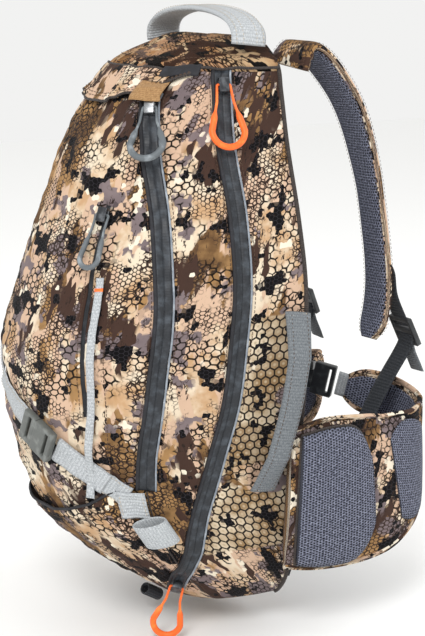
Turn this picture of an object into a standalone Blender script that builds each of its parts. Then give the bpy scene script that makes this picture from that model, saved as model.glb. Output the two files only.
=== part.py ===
"""Hunting daypack: sewn camouflage body with two long zips, harness, hip belt and straps.

Metres. +X is the wearer's right, +Y is towards the wearer's back, +Z is up.
The origin is the middle of the flat face of the back pad, which rests on the wearer.
"""

import math

import bmesh
import bpy
from mathutils import Matrix, Vector

# Body of the bag
BODY_HEIGHT = 0.536
BODY_WIDTH = 0.280
BODY_DEPTH = 0.226
SQUARENESS = 2.4  # exponent of the superellipse that each section follows
PANEL = 0.0030  # sewn panel, face fabric with foam and lining
SEAM = 0.0004  # gap left between neighbouring panels
# share of the height, share of the half width, share of the depth
OUTLINE = (
    (0.00, 0.36, 0.28),
    (0.035, 0.65, 0.43),
    (0.10, 0.81, 0.63),
    (0.20, 0.88, 0.86),
    (0.32, 0.93, 0.97),
    (0.42, 0.99, 1.00),
    (0.50, 1.00, 1.00),
    (0.61, 0.99, 0.92),
    (0.72, 0.89, 0.83),
    (0.84, 0.74, 0.73),
    (0.93, 0.65, 0.585),
    (0.97, 0.60, 0.49),
    (1.00, 0.44, 0.33),
)
BASE_RIM = 0.050  # share of the height where the base panel starts
CROWN_RIM = 0.965  # share of the height where the crown panel starts

# Back
PAD_THICK = 0.008
PAD_INSET = 0.014
PAD_LOW = 0.125
PAD_HIGH = 0.88
SHEET_THICK = 0.0015
SHEET_INSET = 0.020
BACK_GAP = 0.0012  # between the back cloth and the inner face of the side panels
YOKE_HIGH = 0.955
YOKE_THICK = 0.007

# Zips: (share of the height, degrees round the section from the right back edge)
MAIN_TRACK = (
    (0.055, 56.0),
    (0.10, 43.0),
    (0.15, 32.0),
    (0.235, 24.4),
    (0.31, 20.0),
    (0.40, 16.8),
    (0.52, 15.0),
    (0.72, 16.0),
    (0.85, 19.2),
    (0.93, 23.0),
    (0.96, 25.5),
)
FRONT_TRACK = (
    (0.27, 40.5),
    (0.40, 37.0),
    (0.52, 35.0),
    (0.65, 38.0),
    (0.76, 42.0),
    (0.86, 48.5),
    (0.915, 55.0),
)
POCKET_TRACK = ((0.40, 58.5), (0.50, 59.5), (0.58, 62.0), (0.66, 63.0), (0.745, 62.0))
ZIP_WIDE = 0.014
ZIP_THICK = 0.0012
ZIP_MOUTH = 0.008  # gap between the two panels that a zip joins
ZIP_LIFT = 0.0009  # height of a tape's underside over the panels
POCKET_ZIP_WIDE = 0.008
SLIDER_LONG = 0.013
SLIDER_WIDE = 0.009
SLIDER_TALL = 0.0065
SLIDER_WALL = 0.0016
SLIDER_LIFT = 0.0034
PULL_WIRE = 0.0012
CORD_GAP = 0.0004

# Webbing
WEB_WIDE = 0.025
WEB_THICK = 0.0018
WEB_LIFT = 0.0012
TAPE_WIDE = 0.007
TAPE_LIFT = 0.0045

# Harness
STRAP_WIDE = 0.064
STRAP_TIP_WIDE = 0.040
STRAP_THICK = 0.012
WING_THICK = 0.010
WING_TALL = 0.146
WING_TIP_TALL = 0.034
TIP_SHARE = 0.15  # of a change in the bag's size that the wings' tips follow
WING_LEAN = 0.09  # how much the wing's root follows the taper of the bag
WING_POCKET_THICK = 0.012
WING_POCKET_SHARE = 0.86  # of the wing's height
WING_POCKET_STATIONS = (0, 6)  # steps along the wing where its pocket starts and ends

# Handles
HANDLE_REACH = BODY_WIDTH * 0.286  # the top handle is sewn across the crown
HANDLE_RISE = 0.031
HANDLE_WIDE = 0.036
HANDLE_THICK = 0.006
SIDE_HANDLE_WIDE = 0.026
SIDE_HANDLE_THICK = 0.005
SIDE_HANDLE_RISE = 0.016

FABRIC_BACK = -PAD_THICK - SEAM
HIDE = 0.0003  # assembly gap between pieces that touch

# The harness is laid out at these sizes of the bag and follows the bag from there.
LAYOUT_WIDTH = 0.280
LAYOUT_HEIGHT = 0.536

CAMO = "C7A882"
MESH = "565A6E"
GREY_WEB = "B4B8BB"
DARK_WEB = "4A4D50"
PLASTIC = "5B5E5C"
DARK_PLASTIC = "34363A"
ORANGE = "F36A1C"
ZIP_GREY = "4B4F57"


def linear(hex_colour):
    """An sRGB hex colour as linear values."""
    channels = [int(hex_colour[i : i + 2], 16) / 255 for i in (0, 2, 4)]
    return [c / 12.92 if c <= 0.04045 else ((c + 0.055) / 1.055) ** 2.4 for c in channels]


def finish(name, hex_colour, roughness, metallic=0.0):
    material = bpy.data.materials.new(name)
    material.use_nodes = True
    shader = material.node_tree.nodes["Principled BSDF"]
    shader.inputs["Base Color"].default_value = (*linear(hex_colour), 1)
    shader.inputs["Roughness"].default_value = roughness
    shader.inputs["Metallic"].default_value = metallic
    return material


def clear_scene():
    for obj in list(bpy.data.objects):
        bpy.data.objects.remove(obj)


def show(name, mesh_data, hex_colour, roughness=0.85, metallic=0.0, smooth=False):
    """Turns a bmesh into a named object in its own material."""
    bmesh.ops.recalc_face_normals(mesh_data, faces=mesh_data.faces)
    mesh = bpy.data.meshes.new(name)
    mesh_data.to_mesh(mesh)
    mesh_data.free()
    for polygon in mesh.polygons:
        polygon.use_smooth = smooth
    mesh.materials.append(finish(name + "_finish", hex_colour, roughness, metallic))
    obj = bpy.data.objects.new(name, mesh)
    bpy.context.collection.objects.link(obj)
    return obj


def set_origin(obj, point):
    """Moves an object's origin to a joint axis and leaves its shape where it is."""
    obj.data.transform(Matrix.Translation(-Vector(point)))
    obj.location = point


def through(table, x, column=1):
    """Smooth curve through the rows of a table, level past its ends."""
    if x <= table[0][0]:
        return table[0][column]
    if x >= table[-1][0]:
        return table[-1][column]
    k = max(i for i in range(len(table) - 1) if table[i][0] <= x)

    def slope(i):
        low, high = max(i - 1, 0), min(i + 1, len(table) - 1)
        return (table[high][column] - table[low][column]) / (table[high][0] - table[low][0])

    span = table[k + 1][0] - table[k][0]
    t = (x - table[k][0]) / span
    return (
        (2 * t**3 - 3 * t**2 + 1) * table[k][column]
        + (t**3 - 2 * t**2 + t) * span * slope(k)
        + (3 * t**2 - 2 * t**3) * table[k + 1][column]
        + (t**3 - t**2) * span * slope(k + 1)
    )


def half_width(share):
    return BODY_WIDTH / 2 * through(OUTLINE, share, 1)


def depth(share):
    return BODY_DEPTH * through(OUTLINE, share, 2)


def height(share):
    return BODY_HEIGHT * (share - 0.5)


def on_body(share, degrees):
    """Point of the bag's outer skin at a share of the height and an angle round the section."""
    angle = math.radians(degrees)
    cosine, sine = math.cos(angle), math.sin(angle)
    x = math.copysign(abs(cosine) ** (2 / SQUARENESS), cosine) * half_width(share)
    y = FABRIC_BACK - abs(sine) ** (2 / SQUARENESS) * depth(share)
    return Vector((x, y, height(share)))


def axes_at(share, degrees):
    """Unit vectors up the skin, round the skin towards the front, and out of the bag."""
    rise = on_body(share + 0.004, degrees) - on_body(share - 0.004, degrees)
    low, high = max(degrees - 1.5, 0.1), min(degrees + 1.5, 179.9)
    around = on_body(share, high) - on_body(share, low)
    rise.normalize()
    around.normalize()
    out = rise.cross(around).normalized()
    if out.dot(Vector((math.cos(math.radians(degrees)), -math.sin(math.radians(degrees)), 0))) < 0:
        out.negate()
    return rise, around, out


def lifted(share, degrees, lift):
    return on_body(share, degrees) + axes_at(share, degrees)[2] * lift


def along(share, degrees, distance):
    """The angle that lies a distance round the skin from another angle."""
    step = 0.5
    span = (on_body(share, degrees + step) - on_body(share, degrees - step)).length
    return degrees + distance * 2 * step / span


def skin(name, rows, columns, place, low, high, hex_colour, **finish_values):
    """A closed sheet over the bag: place(u, v) gives share and angle, low and high its two faces."""
    shape = bmesh.new()
    layers = []
    for lift in (low, high):
        layer = []
        for i in range(rows + 1):
            points = (place(i / rows, j / columns) for j in range(columns + 1))
            layer.append([shape.verts.new(lifted(s, a, lift)) for s, a in points])
        layers.append(layer)
    join_layers(shape, layers, rows, columns)
    return show(name, shape, hex_colour, **finish_values)


def join_layers(shape, layers, rows, columns):
    """Faces of two matching grids of points and of the rim between them."""
    for layer in layers:
        for i in range(rows):
            for j in range(columns):
                corners = (layer[i][j], layer[i][j + 1], layer[i + 1][j + 1], layer[i + 1][j])
                shape.faces.new(corners)
    rim = [(0, j) for j in range(columns)]
    rim += [(i, columns) for i in range(rows)]
    rim += [(rows, j) for j in range(columns, 0, -1)]
    rim += [(i, 0) for i in range(rows, 0, -1)]
    low, high = layers
    for k, (i, j) in enumerate(rim):
        a, b = rim[(k + 1) % len(rim)]
        shape.faces.new((low[i][j], low[a][b], high[a][b], high[i][j]))


def sweep(name, stations, hex_colour, **finish_values):
    """A closed solid along stations, each one ring of points of equal count."""
    shape = bmesh.new()
    rings = [[shape.verts.new(point) for point in ring] for ring in stations]
    count = len(rings[0])
    for low, high in zip(rings, rings[1:]):
        for k in range(count):
            shape.faces.new((low[k], low[(k + 1) % count], high[(k + 1) % count], high[k]))
    shape.faces.new(rings[0])
    shape.faces.new(rings[-1])
    return show(name, shape, hex_colour, **finish_values)


def band_ring(point, across, out, wide, thick, edge):
    """Cross-section of a strap: a flat band whose edges taper to a share of its thickness."""
    ring = []
    for side, rise in ((-1, -edge), (-0.82, -1), (0.82, -1), (1, -edge), (1, edge), (0.82, 1), (-0.82, 1), (-1, edge)):
        ring.append(point + across * (side * wide / 2) + out * (rise * thick / 2))
    return ring


def band(name, spine, acrosses, wides, thick, hex_colour, edge=0.45, **finish_values):
    """A strap along a list of points, with its width along the given directions."""
    rings = []
    for k, point in enumerate(spine):
        ahead = spine[min(k + 1, len(spine) - 1)] - spine[max(k - 1, 0)]
        across = acrosses[k].normalized()
        out = ahead.cross(across).normalized()
        rings.append(band_ring(point, across, out, wides[k], thick, edge))
    return sweep(name, rings, hex_colour, **finish_values)


def smooth_path(points, steps):
    """Curve through a short list of points, split into equal steps between them."""
    rows = [tuple([float(k)] + list(point)) for k, point in enumerate(points)]
    total = steps * (len(points) - 1)
    return [
        Vector([through(rows, k / steps, column) for column in range(1, len(rows[0]))])
        for k in range(total + 1)
    ]


def cell_plate(name, frame, x_cuts, y_cuts, holes, low, high, hex_colour, **finish_values):
    """A moulded plate with square holes: cells between the cuts, extruded from low to high."""
    shape = bmesh.new()
    points = {}

    def corner(i, j, k):
        if (i, j, k) not in points:
            local = Vector((x_cuts[i], y_cuts[j], (low, high)[k]))
            points[i, j, k] = shape.verts.new(frame @ local)
        return points[i, j, k]

    solid = {
        (i, j)
        for i in range(len(x_cuts) - 1)
        for j in range(len(y_cuts) - 1)
        if (i, j) not in holes
    }
    for i, j in solid:
        loop = ((i, j), (i + 1, j), (i + 1, j + 1), (i, j + 1))
        shape.faces.new([corner(a, b, 0) for a, b in reversed(loop)])
        shape.faces.new([corner(a, b, 1) for a, b in loop])
        for side, beyond in enumerate(((i, j - 1), (i + 1, j), (i, j + 1), (i - 1, j))):
            if beyond in solid:
                continue
            (a, b), (c, d) = loop[side], loop[(side + 1) % 4]
            wall = (corner(a, b, 0), corner(c, d, 0), corner(c, d, 1), corner(a, b, 1))
            shape.faces.new(wall)
    return show(name, shape, hex_colour, **finish_values)


def frame_of(origin, x_axis, y_axis, z_axis):
    """Matrix of a local frame, from its origin and three unit vectors."""
    frame = Matrix.Identity(4)
    for column, axis in enumerate((x_axis, y_axis, z_axis)):
        for row in range(3):
            frame[row][column] = axis[row]
    for row in range(3):
        frame[row][3] = origin[row]
    return frame


def side_name(sign):
    return "right" if sign > 0 else "left"


def mirrored(degrees, sign):
    return degrees if sign > 0 else 180 - degrees


# ---- bag panels ----


def track_edge(track, share, offset, sign=1):
    """Angle of a line beside a zip's centre line, a distance round the skin from it."""
    angle = along(share, through(track, share), offset)
    return mirrored(angle, sign)


def between(start, end, v):
    return start + (end - start) * v


def side_panels():
    """The panels between the back edge and the main zip's line on each side."""
    for sign in (1, -1):

        def place(u, v, sign=sign):
            share = between(BASE_RIM, CROWN_RIM, u)
            edge = track_edge(MAIN_TRACK, share, -ZIP_MOUTH / 2)
            return share, mirrored(between(0.4, edge, v), sign)

        skin(f"side_panel_{side_name(sign)}", 18, 4, place, -PANEL, 0, CAMO)


def gussets():
    """The panels between the two zip lines on each side."""
    for sign in (1, -1):
        mouth = ZIP_MOUTH / 2 if sign > 0 else -ZIP_MOUTH / 2 + SEAM

        def place(u, v, sign=sign, mouth=mouth):
            share = between(BASE_RIM, CROWN_RIM, u)
            start = track_edge(MAIN_TRACK, share, mouth)
            end = front_edge(share) - front_gap(share)
            return share, mirrored(between(start, end, v), sign)

        skin(f"gusset_{side_name(sign)}", 18, 3, place, -PANEL, 0, CAMO)


def front_edge(share):
    """Angle of the front zip's line, carried on below the zip as a plain seam."""
    angle = through(FRONT_TRACK, share)
    main = through(MAIN_TRACK, share)
    return max(angle, main + 14)


def front_gap(share):
    """Half the gap between gusset and front panel, in degrees: the zip's mouth, or a seam."""
    low, high = FRONT_TRACK[0][0], FRONT_TRACK[-1][0]
    gap = ZIP_MOUTH / 2 if low < share < high else SEAM * 1.6
    return along(share, front_edge(share), gap) - front_edge(share)


def front_panel():
    def place(u, v):
        share = between(BASE_RIM, CROWN_RIM, u)
        start = front_edge(share) + front_gap(share)
        return share, between(start, 180 - start, v)

    skin("front_panel", 20, 12, place, -PANEL, 0, CAMO)


def closing_panel(name, shares, rim_steps, hex_colour):
    """Base or crown: rings that shrink over the end of the bag, closed with a flat middle."""
    shape = bmesh.new()
    layers = []
    for lift in (0, -PANEL):
        rings = []
        for share in shares:
            arc = [on_body(share, 180 * k / rim_steps) for k in range(rim_steps + 1)]
            middle = Vector((0, FABRIC_BACK - depth(share) / 2, height(share)))
            if lift:
                arc = [point + (middle - point).normalized() * PANEL for point in arc]
            rings.append([shape.verts.new(point) for point in arc])
        layers.append(rings)
    outer, inner = layers
    drop = Vector((0, 0, -PANEL if shares[-1] > 0.5 else PANEL))
    for vert in inner[-1]:
        vert.co += drop
    count = rim_steps + 1
    for rings in layers:
        for low, high in zip(rings, rings[1:]):
            for k in range(count):
                n = (k + 1) % count
                shape.faces.new((low[k], low[n], high[n], high[k]))
        shape.faces.new(rings[-1])
    for k in range(count):
        n = (k + 1) % count
        shape.faces.new((outer[0][k], outer[0][n], inner[0][n], inner[0][k]))
    return show(name, shape, hex_colour)


def base_and_crown():
    seam = SEAM / BODY_HEIGHT
    closing_panel("base_panel", (BASE_RIM - seam, 0.025, 0.0), 18, CAMO)
    closing_panel("crown_panel", (CROWN_RIM + seam, 0.985, 1.0), 18, CAMO)


def flat_outline(low, high, inset, steps):
    """Outline of a flat piece that follows the bag's back, as two edges of X and Z."""
    shares = [between(low, high, k / steps) for k in range(steps + 1)]
    return [(half_width(share) - inset, height(share)) for share in shares]


def back_sheet(name, low, high, inset, y_near, y_far, steps, hex_colour, **finish_values):
    """A flat piece parallel to the back, between two depths."""
    shape = bmesh.new()
    edge = flat_outline(low, high, inset, steps)
    layers = []
    for y in (y_near, y_far):
        layer = [
            [shape.verts.new((side * x, y, z)) for side in (-1, -0.4, 0.4, 1)] for x, z in edge
        ]
        layers.append(layer)
    join_layers(shape, layers, steps, 3)
    return show(name, shape, hex_colour, **finish_values)


def back_parts():
    shell_back = FABRIC_BACK + SEAM
    back_sheet("back_pad", PAD_LOW, PAD_HIGH, PAD_INSET, 0, -PAD_THICK + 0.0006, 14, MESH)
    back_sheet("back_panel", BASE_RIM, CROWN_RIM, PANEL + BACK_GAP, shell_back - 0.0004, shell_back - 0.0024, 18, CAMO)
    sheet_y = shell_back - 0.0028
    back_sheet("frame_sheet", 0.08, 0.92, SHEET_INSET, sheet_y, sheet_y - SHEET_THICK, 12, DARK_PLASTIC, roughness=0.5)


def divider_panel():
    """The lining wall inside that parts the front compartment from the main one."""
    shape = bmesh.new()
    steps = 12
    layers = []
    for y_shift in (0, -0.0012):
        layer = []
        for k in range(steps + 1):
            share = between(0.16, 0.90, k / steps)
            reach = on_body(share, front_edge(share) - 6)
            x = reach.x - PANEL - 0.006
            y = reach.y + y_shift
            row = [shape.verts.new((side * x, y, height(share))) for side in (-1, -0.35, 0.35, 1)]
            layer.append(row)
        layers.append(layer)
    join_layers(shape, layers, steps, 3)
    show("divider_panel", shape, MESH)


def hood():
    """The hood over the zip ends and the flap that hides its seam."""

    def hood_place(u, v):
        angle = between(32, 148, v)
        low = 0.918 + 0.035 * abs(angle - 90) / 58
        return between(low, 0.962, u), angle

    skin("hood_flap", 3, 16, hood_place, 0.0012, 0.0038, CAMO)

    zip_garage()


GARAGE_LOW = 0.905  # share of the height of the garage's open mouth
GARAGE_HIGH = 0.931
GARAGE_LIFT = 0.0112  # it stands over the slider here and comes down to the skin above it
GARAGE_THICK = 0.0014
GARAGE_WIDE = 0.020


def zip_garage():
    """The small hood of fabric that the front zip's slider parks under."""
    rows, columns = 6, 4
    shape = bmesh.new()
    layers = []
    for thickness in (0, GARAGE_THICK):
        layer = []
        for i in range(rows + 1):
            u = i / rows
            share = between(GARAGE_LOW, GARAGE_HIGH, u)
            fall = min(1, max(0, (u - 0.42) / 0.58))
            lift = between(GARAGE_LIFT, ZIP_LIFT + ZIP_THICK + HIDE, fall * fall * (3 - 2 * fall)) + thickness
            middle = through(FRONT_TRACK, share)
            row = []
            for j in range(columns + 1):
                v = between(-GARAGE_WIDE / 2, GARAGE_WIDE / 2, j / columns)
                row.append(shape.verts.new(lifted(share, along(share, middle, v), lift)))
            layer.append(row)
        layers.append(layer)
    join_layers(shape, layers, rows, columns)
    show("zip_garage", shape, CAMO)


def lower_pocket():
    def place(u, v):
        angle = between(56, 124, v)
        top = 0.215 + 0.03 * ((angle - 90) / 34) ** 2
        return between(0.115, top, u), angle

    skin("lower_pocket", 5, 12, place, 0.0012, 0.0040, CAMO)


# ---- zips ----


def zip_tape(name, track, start, end, wide, rows, lift):
    def place(u, v):
        share = between(start, end, u)
        return share, along(share, through(track, share), between(-wide / 2, wide / 2, v))

    skin(name, rows, 2, place, lift, lift + ZIP_THICK, ZIP_GREY, roughness=0.55)


def zip_tapes():
    zip_tape("main_zip_tape", MAIN_TRACK, 0.060, 0.958, ZIP_WIDE, 26, ZIP_LIFT)
    zip_tape("front_zip_tape", FRONT_TRACK, FRONT_TRACK[0][0] + 0.004, 0.912, ZIP_WIDE, 18, ZIP_LIFT)
    zip_tape("pocket_zip_tape", POCKET_TRACK, 0.41, 0.745, POCKET_ZIP_WIDE, 10, ZIP_LIFT)


def track_frame(track, share):
    """Local frame on a zip: X across the tape, Y up the track, Z out of the bag."""
    step = 0.006
    up = lifted(share + step, through(track, share + step), 0)
    up = (up - lifted(share - step, through(track, share - step), 0)).normalized()
    out = axes_at(share, through(track, share))[2]
    out = (out - up * out.dot(up)).normalized()
    origin = lifted(share, through(track, share), SLIDER_LIFT)
    return frame_of(origin, up.cross(out), up, out)


def slider(name, frame):
    """A zip slider seen from its side: a body with a bridge that the pull passes under."""
    half = SLIDER_LONG / 2
    side_view = frame @ frame_of((0, 0, 0), (0, 1, 0), (0, 0, 1), (1, 0, 0))
    along_cuts = (-half, -half + 0.0025, half - 0.0025, half)
    up_cuts = (0, SLIDER_TALL - SLIDER_WALL - 0.0034, SLIDER_TALL - SLIDER_WALL, SLIDER_TALL)
    cell_plate(
        name,
        side_view,
        along_cuts,
        up_cuts,
        {(1, 1)},
        -SLIDER_WIDE / 2,
        SLIDER_WIDE / 2,
        DARK_PLASTIC,
        roughness=0.35,
        metallic=0.8,
    )
    return frame @ Vector((0, 0, SLIDER_TALL - SLIDER_WALL - 0.0017))


def teardrop(long, wide, steps):
    """Points of a loop that hangs from the origin down its Y axis: two strands and a round end."""
    radius = wide / 2
    centre = Vector((0, -(long - radius), 0))
    eye = SLIDER_WIDE / 2 + PULL_WIRE + CORD_GAP
    knee = max(wide * 0.26, eye)
    points = [Vector((eye, 0.0, 0)), Vector((-eye, 0.0, 0))]
    points.append(Vector((-knee, -long * 0.28, 0)))
    for k in range(steps + 1):
        angle = math.pi + math.pi * k / steps
        points.append(centre + Vector((math.cos(angle) * radius, math.sin(angle) * radius, 0)))
    points.append(Vector((knee, -long * 0.28, 0)))
    return points


def loop_tube(name, points, radii, hex_colour, sides=8):
    """A ring of tube along closed points, with its own radius at each of them."""
    shape = bmesh.new()
    count = len(points)
    normal = (points[1] - points[0]).cross(points[count // 2] - points[0]).normalized()
    rings = []
    for k, point in enumerate(points):
        tangent = (points[(k + 1) % count] - points[k - 1]).normalized()
        across = tangent.cross(normal).normalized()
        ring = []
        for j in range(sides):
            angle = 2 * math.pi * j / sides
            offset = across * math.cos(angle) + normal * math.sin(angle)
            ring.append(shape.verts.new(point + offset * radii[k]))
        rings.append(ring)
    for k in range(count):
        low, high = rings[k], rings[(k + 1) % count]
        for j in range(sides):
            n = (j + 1) % sides
            shape.faces.new((low[j], low[n], high[n], high[j]))
    return show(name, shape, hex_colour, roughness=0.5, smooth=True)


def pull(name, eye, hang, out, long, wide, grip, hex_colour):
    """A cord pull through a slider's bridge, with a moulded grip round its far end."""
    side = hang.cross(out).normalized()
    points = teardrop(long, wide, 8)
    frame = frame_of(eye, side, -hang, out)
    radii = [grip if point.y < -long * 0.5 else PULL_WIRE for point in points]
    return loop_tube(name, [frame @ point for point in points], radii, hex_colour)


def hanging(frame, tilt):
    """Direction in which a pull hangs from a slider: down the track, tipped a little outwards."""
    up = frame.col[1].to_3d()
    out = frame.col[2].to_3d()
    if out.z < -0.3:
        across = frame.col[0].to_3d()
        hang = Vector((0, 0, -1))
        hang = (hang - across * hang.dot(across)).normalized()
        return hang, across.cross(hang).normalized()
    hang = (-up * math.cos(tilt) + out * math.sin(tilt)).normalized()
    return hang, (out * math.cos(tilt) + up * math.sin(tilt)).normalized()


# name, track, share of the height, pull length, width, grip radius, colour, tilt in degrees
ZIP_ENDS = (
    ("main_zip_top", MAIN_TRACK, 0.938, 0.058, 0.030, 0.0030, ORANGE, 9),
    ("main_zip_base", MAIN_TRACK, 0.075, 0.049, 0.026, 0.0030, ORANGE, -12),
    ("front_zip", FRONT_TRACK, 0.900, 0.052, 0.030, 0.0030, DARK_WEB, 8),
    ("pocket_zip", POCKET_TRACK, 0.730, 0.050, 0.018, 0.0024, DARK_WEB, 9),
)


def sliders_and_pulls():
    for name, track, share, long, wide, grip, colour, tilt in ZIP_ENDS:
        frame = track_frame(track, share)
        eye = slider(name + "_slider", frame)
        hang, out = hanging(frame, math.radians(tilt))
        set_origin(pull(name + "_pull", eye, hang, out, long, wide, grip, colour), eye)


# ---- compression strap, tape and loops ----

# share of the height and angle of the compression strap's middle line
STRAP_LINE = (
    (0.0, 0.258, 47.0),
    (0.18, 0.300, 59.0),
    (0.40, 0.352, 76.0),
    (0.55, 0.388, 90.0),
    (0.78, 0.448, 110.0),
    (1.0, 0.545, 141.0),
)
BUCKLE_START = 0.33
BUCKLE_END = 0.52
BUCKLE_THICK = 0.007


def strap_place(start, end, wide, line=STRAP_LINE):
    """Place function of webbing that runs along a line on the bag."""

    def place(u, v):
        s = between(start, end, u)
        share, angle = through(line, s, 1), through(line, s, 2)
        step = 0.01
        ahead = on_body(through(line, s + step, 1), through(line, s + step, 2))
        behind = on_body(through(line, s - step, 1), through(line, s - step, 2))
        run = (ahead - behind).normalized()
        rise, around, out = axes_at(share, angle)
        across = out.cross(run).normalized() * between(-wide / 2, wide / 2, v)
        return share + across.dot(rise) / BODY_HEIGHT, along(share, angle, across.dot(around))

    return place


def buckle_frame():
    """Local frame of the buckle: X across the strap, Y along it, Z out of the bag."""
    middle = (BUCKLE_START + BUCKLE_END) / 2
    share, angle = through(STRAP_LINE, middle, 1), through(STRAP_LINE, middle, 2)
    ends = [
        lifted(through(STRAP_LINE, s, 1), through(STRAP_LINE, s, 2), 0)
        for s in (BUCKLE_START, BUCKLE_END)
    ]
    run = (ends[1] - ends[0]).normalized()
    out = axes_at(share, angle)[2]
    out = (out - run * out.dot(run)).normalized()
    origin = lifted(share, angle, WEB_LIFT + 0.0022)
    return frame_of(origin, run.cross(out), run, out)


def compression_strap():
    ends = ((0.02, BUCKLE_START, "right", 9), (BUCKLE_END, 0.985, "left", 14))
    for start, end, side, rows in ends:
        place = strap_place(start, end, WEB_WIDE)
        lifts = (WEB_LIFT, WEB_LIFT + WEB_THICK)
        skin(f"compression_web_{side}", rows, 3, place, *lifts, GREY_WEB)
    frame = buckle_frame()
    half = WEB_WIDE / 2 + 0.004
    cell_plate(
        "compression_buckle_socket",
        frame,
        (-half, -half + 0.004, half - 0.004, half),
        (-0.020, -0.015, -0.011, 0.004),
        {(1, 1)},
        0,
        BUCKLE_THICK,
        PLASTIC,
        roughness=0.45,
    )
    cell_plate(
        "compression_buckle_prong",
        frame,
        (-half, -half + 0.004, -0.005, 0.005, half - 0.004, half),
        (0.0045, 0.010, 0.014, 0.021),
        {(1, 1), (2, 1), (3, 1)},
        0.0008,
        BUCKLE_THICK - 0.0008,
        PLASTIC,
        roughness=0.45,
    )


def tabs_and_loops():
    def tab_place(u, v):
        share = between(0.222, 0.268, u)
        angle = 45.5
        return share, along(share, angle, between(-0.013, 0.013, v))

    skin("zip_end_tab", 5, 3, tab_place, 0.0034, 0.0050, GREY_WEB)
    keeper()
    tape_line = (
        (0.0, 0.635, 58.5),
        (0.25, 0.585, 57.5),
        (0.5, 0.460, 55.5),
        (0.75, 0.350, 57.0),
        (1.0, 0.250, 60.5),
    )
    place = strap_place(0.02, 0.98, TAPE_WIDE, tape_line)
    skin("daisy_tape", 20, 1, place, TAPE_LIFT, TAPE_LIFT + WEB_THICK, GREY_WEB)


def ring_band(name, frame, reach, rise, wide, thick, steps, hex_colour):
    """A webbing loop: a flattened ring of webbing, one closed band round a hole."""
    shape = bmesh.new()
    rings = []
    for k in range(steps):
        angle = 2 * math.pi * k / steps
        outer = Vector((0, reach * math.cos(angle), rise * (1 + math.sin(angle))))
        inner = Vector((0, (reach - thick) * math.cos(angle), rise + (rise - thick) * math.sin(angle)))
        ring = []
        for point, side in ((outer, -1), (outer, 1), (inner, 1), (inner, -1)):
            local = point + Vector((side * wide / 2, 0, 0))
            ring.append(shape.verts.new(frame @ local))
        rings.append(ring)
    for k in range(steps):
        low, high = rings[k], rings[(k + 1) % steps]
        for j in range(4):
            n = (j + 1) % 4
            shape.faces.new((low[j], low[n], high[n], high[j]))
    return show(name, shape, hex_colour)


def keeper():
    """Folded webbing loops: one at the strap's end and one under the base."""
    share, angle = 0.193, 40.0
    rise, around, out = axes_at(share, angle)
    frame = frame_of(lifted(share, angle, 0.0030), rise, around, out)
    ring_band("keeper_loop", frame, 0.017, 0.008, WEB_WIDE, 0.0022, 16, GREY_WEB)
    share, angle = 0.030, 84.0
    rise, around, out = axes_at(share, angle)
    frame = frame_of(lifted(share, angle, 0.0020), rise, around, out)
    ring_band("base_loop", frame, 0.007, 0.006, 0.020, 0.0020, 12, DARK_WEB)


# ---- handles ----


def top_handle():
    base = height(1.0) + 0.002
    y = FABRIC_BACK - 0.030
    steps = 16
    spine = []
    for k in range(steps + 1):
        angle = math.pi * k / steps
        spine.append(Vector((HANDLE_REACH * math.cos(angle), y, base + HANDLE_RISE * math.sin(angle) ** 0.8)))
    across = [Vector((0, 1, 0))] * len(spine)
    wides = [HANDLE_WIDE] * len(spine)
    obj = band("top_handle", spine, across, wides, HANDLE_THICK, GREY_WEB)
    set_origin(obj, (0, y, base))


def side_handle():
    """A webbing grab handle on the right side panel, sewn down at both ends."""
    line = ((0.0, 0.565, 2.6), (0.5, 0.410, 5.2), (1.0, 0.255, 8.6))
    steps = 18
    spine, acrosses = [], []
    for k in range(steps + 1):
        s = k / steps
        share, angle = through(line, s, 1), through(line, s, 2)
        rise, around, out = axes_at(share, angle)
        bulge = SIDE_HANDLE_RISE * min(1, math.sin(math.pi * s) * 1.5)
        spine.append(lifted(share, angle, 0.0034 + SIDE_HANDLE_THICK / 2 + bulge))
        acrosses.append(around)
    wides = [SIDE_HANDLE_WIDE] * len(spine)
    obj = band("side_handle", spine, acrosses, wides, SIDE_HANDLE_THICK, GREY_WEB)
    set_origin(obj, (spine[0] + spine[-1]) / 2)


# ---- harness ----

# right strap: middle line of the pad, X, Y, Z
STRAP_SPINE = (
    (0.070, 0.012, 0.249),
    (0.071, 0.016, 0.260),
    (0.073, 0.026, 0.266),
    (0.076, 0.048, 0.247),
    (0.079, 0.074, 0.208),
    (0.080, 0.093, 0.152),
    (0.081, 0.104, 0.092),
    (0.083, 0.108, 0.044),
    (0.085, 0.104, 0.010),
    (0.086, 0.096, -0.014),
)
# from a pad's tip to points of the webbing that hangs off it
ADJUSTER_STEPS = ((-0.002, 0.0203, 0.066), (-0.001, 0.0250, 0.042), (0.001, 0.0350, 0.018))
LOWER_WEB_START = (0.002, 0.0385, -0.015)
TAIL_STEPS = ((0.002, 0.0460, -0.015), (0.0025, 0.0505, -0.027), (0.003, 0.0560, -0.040))
# share of the way down, step to the side, step away from the bag
LOWER_WEB_BOW = ((0.205, -0.0013, 0.0010), (0.584, 0.0025, 0.0040), (0.911, 0.0065, 0.0060))
ANCHOR = (0.094, -0.0045, -0.223)
ANCHOR_STEP = 0.005
ANCHOR_CLEAR_Y = 0.0045
ANCHOR_CLEAR_Z = 0.0040
# right wing: middle line of the pad and the share of its height there
WING_SPINE = (
    (0.1415, -0.031, -0.142, 0.92),
    (0.1435, 0.005, -0.142, 1.00),
    (0.1490, 0.048, -0.141, 0.97),
    (0.1480, 0.082, -0.136, 0.88),
    (0.1330, 0.118, -0.124, 0.72),
    (0.1000, 0.141, -0.106, 0.50),
    (0.0610, 0.136, -0.086, 0.33),
    (0.0300, 0.110, -0.076, 0.25),
)


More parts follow.
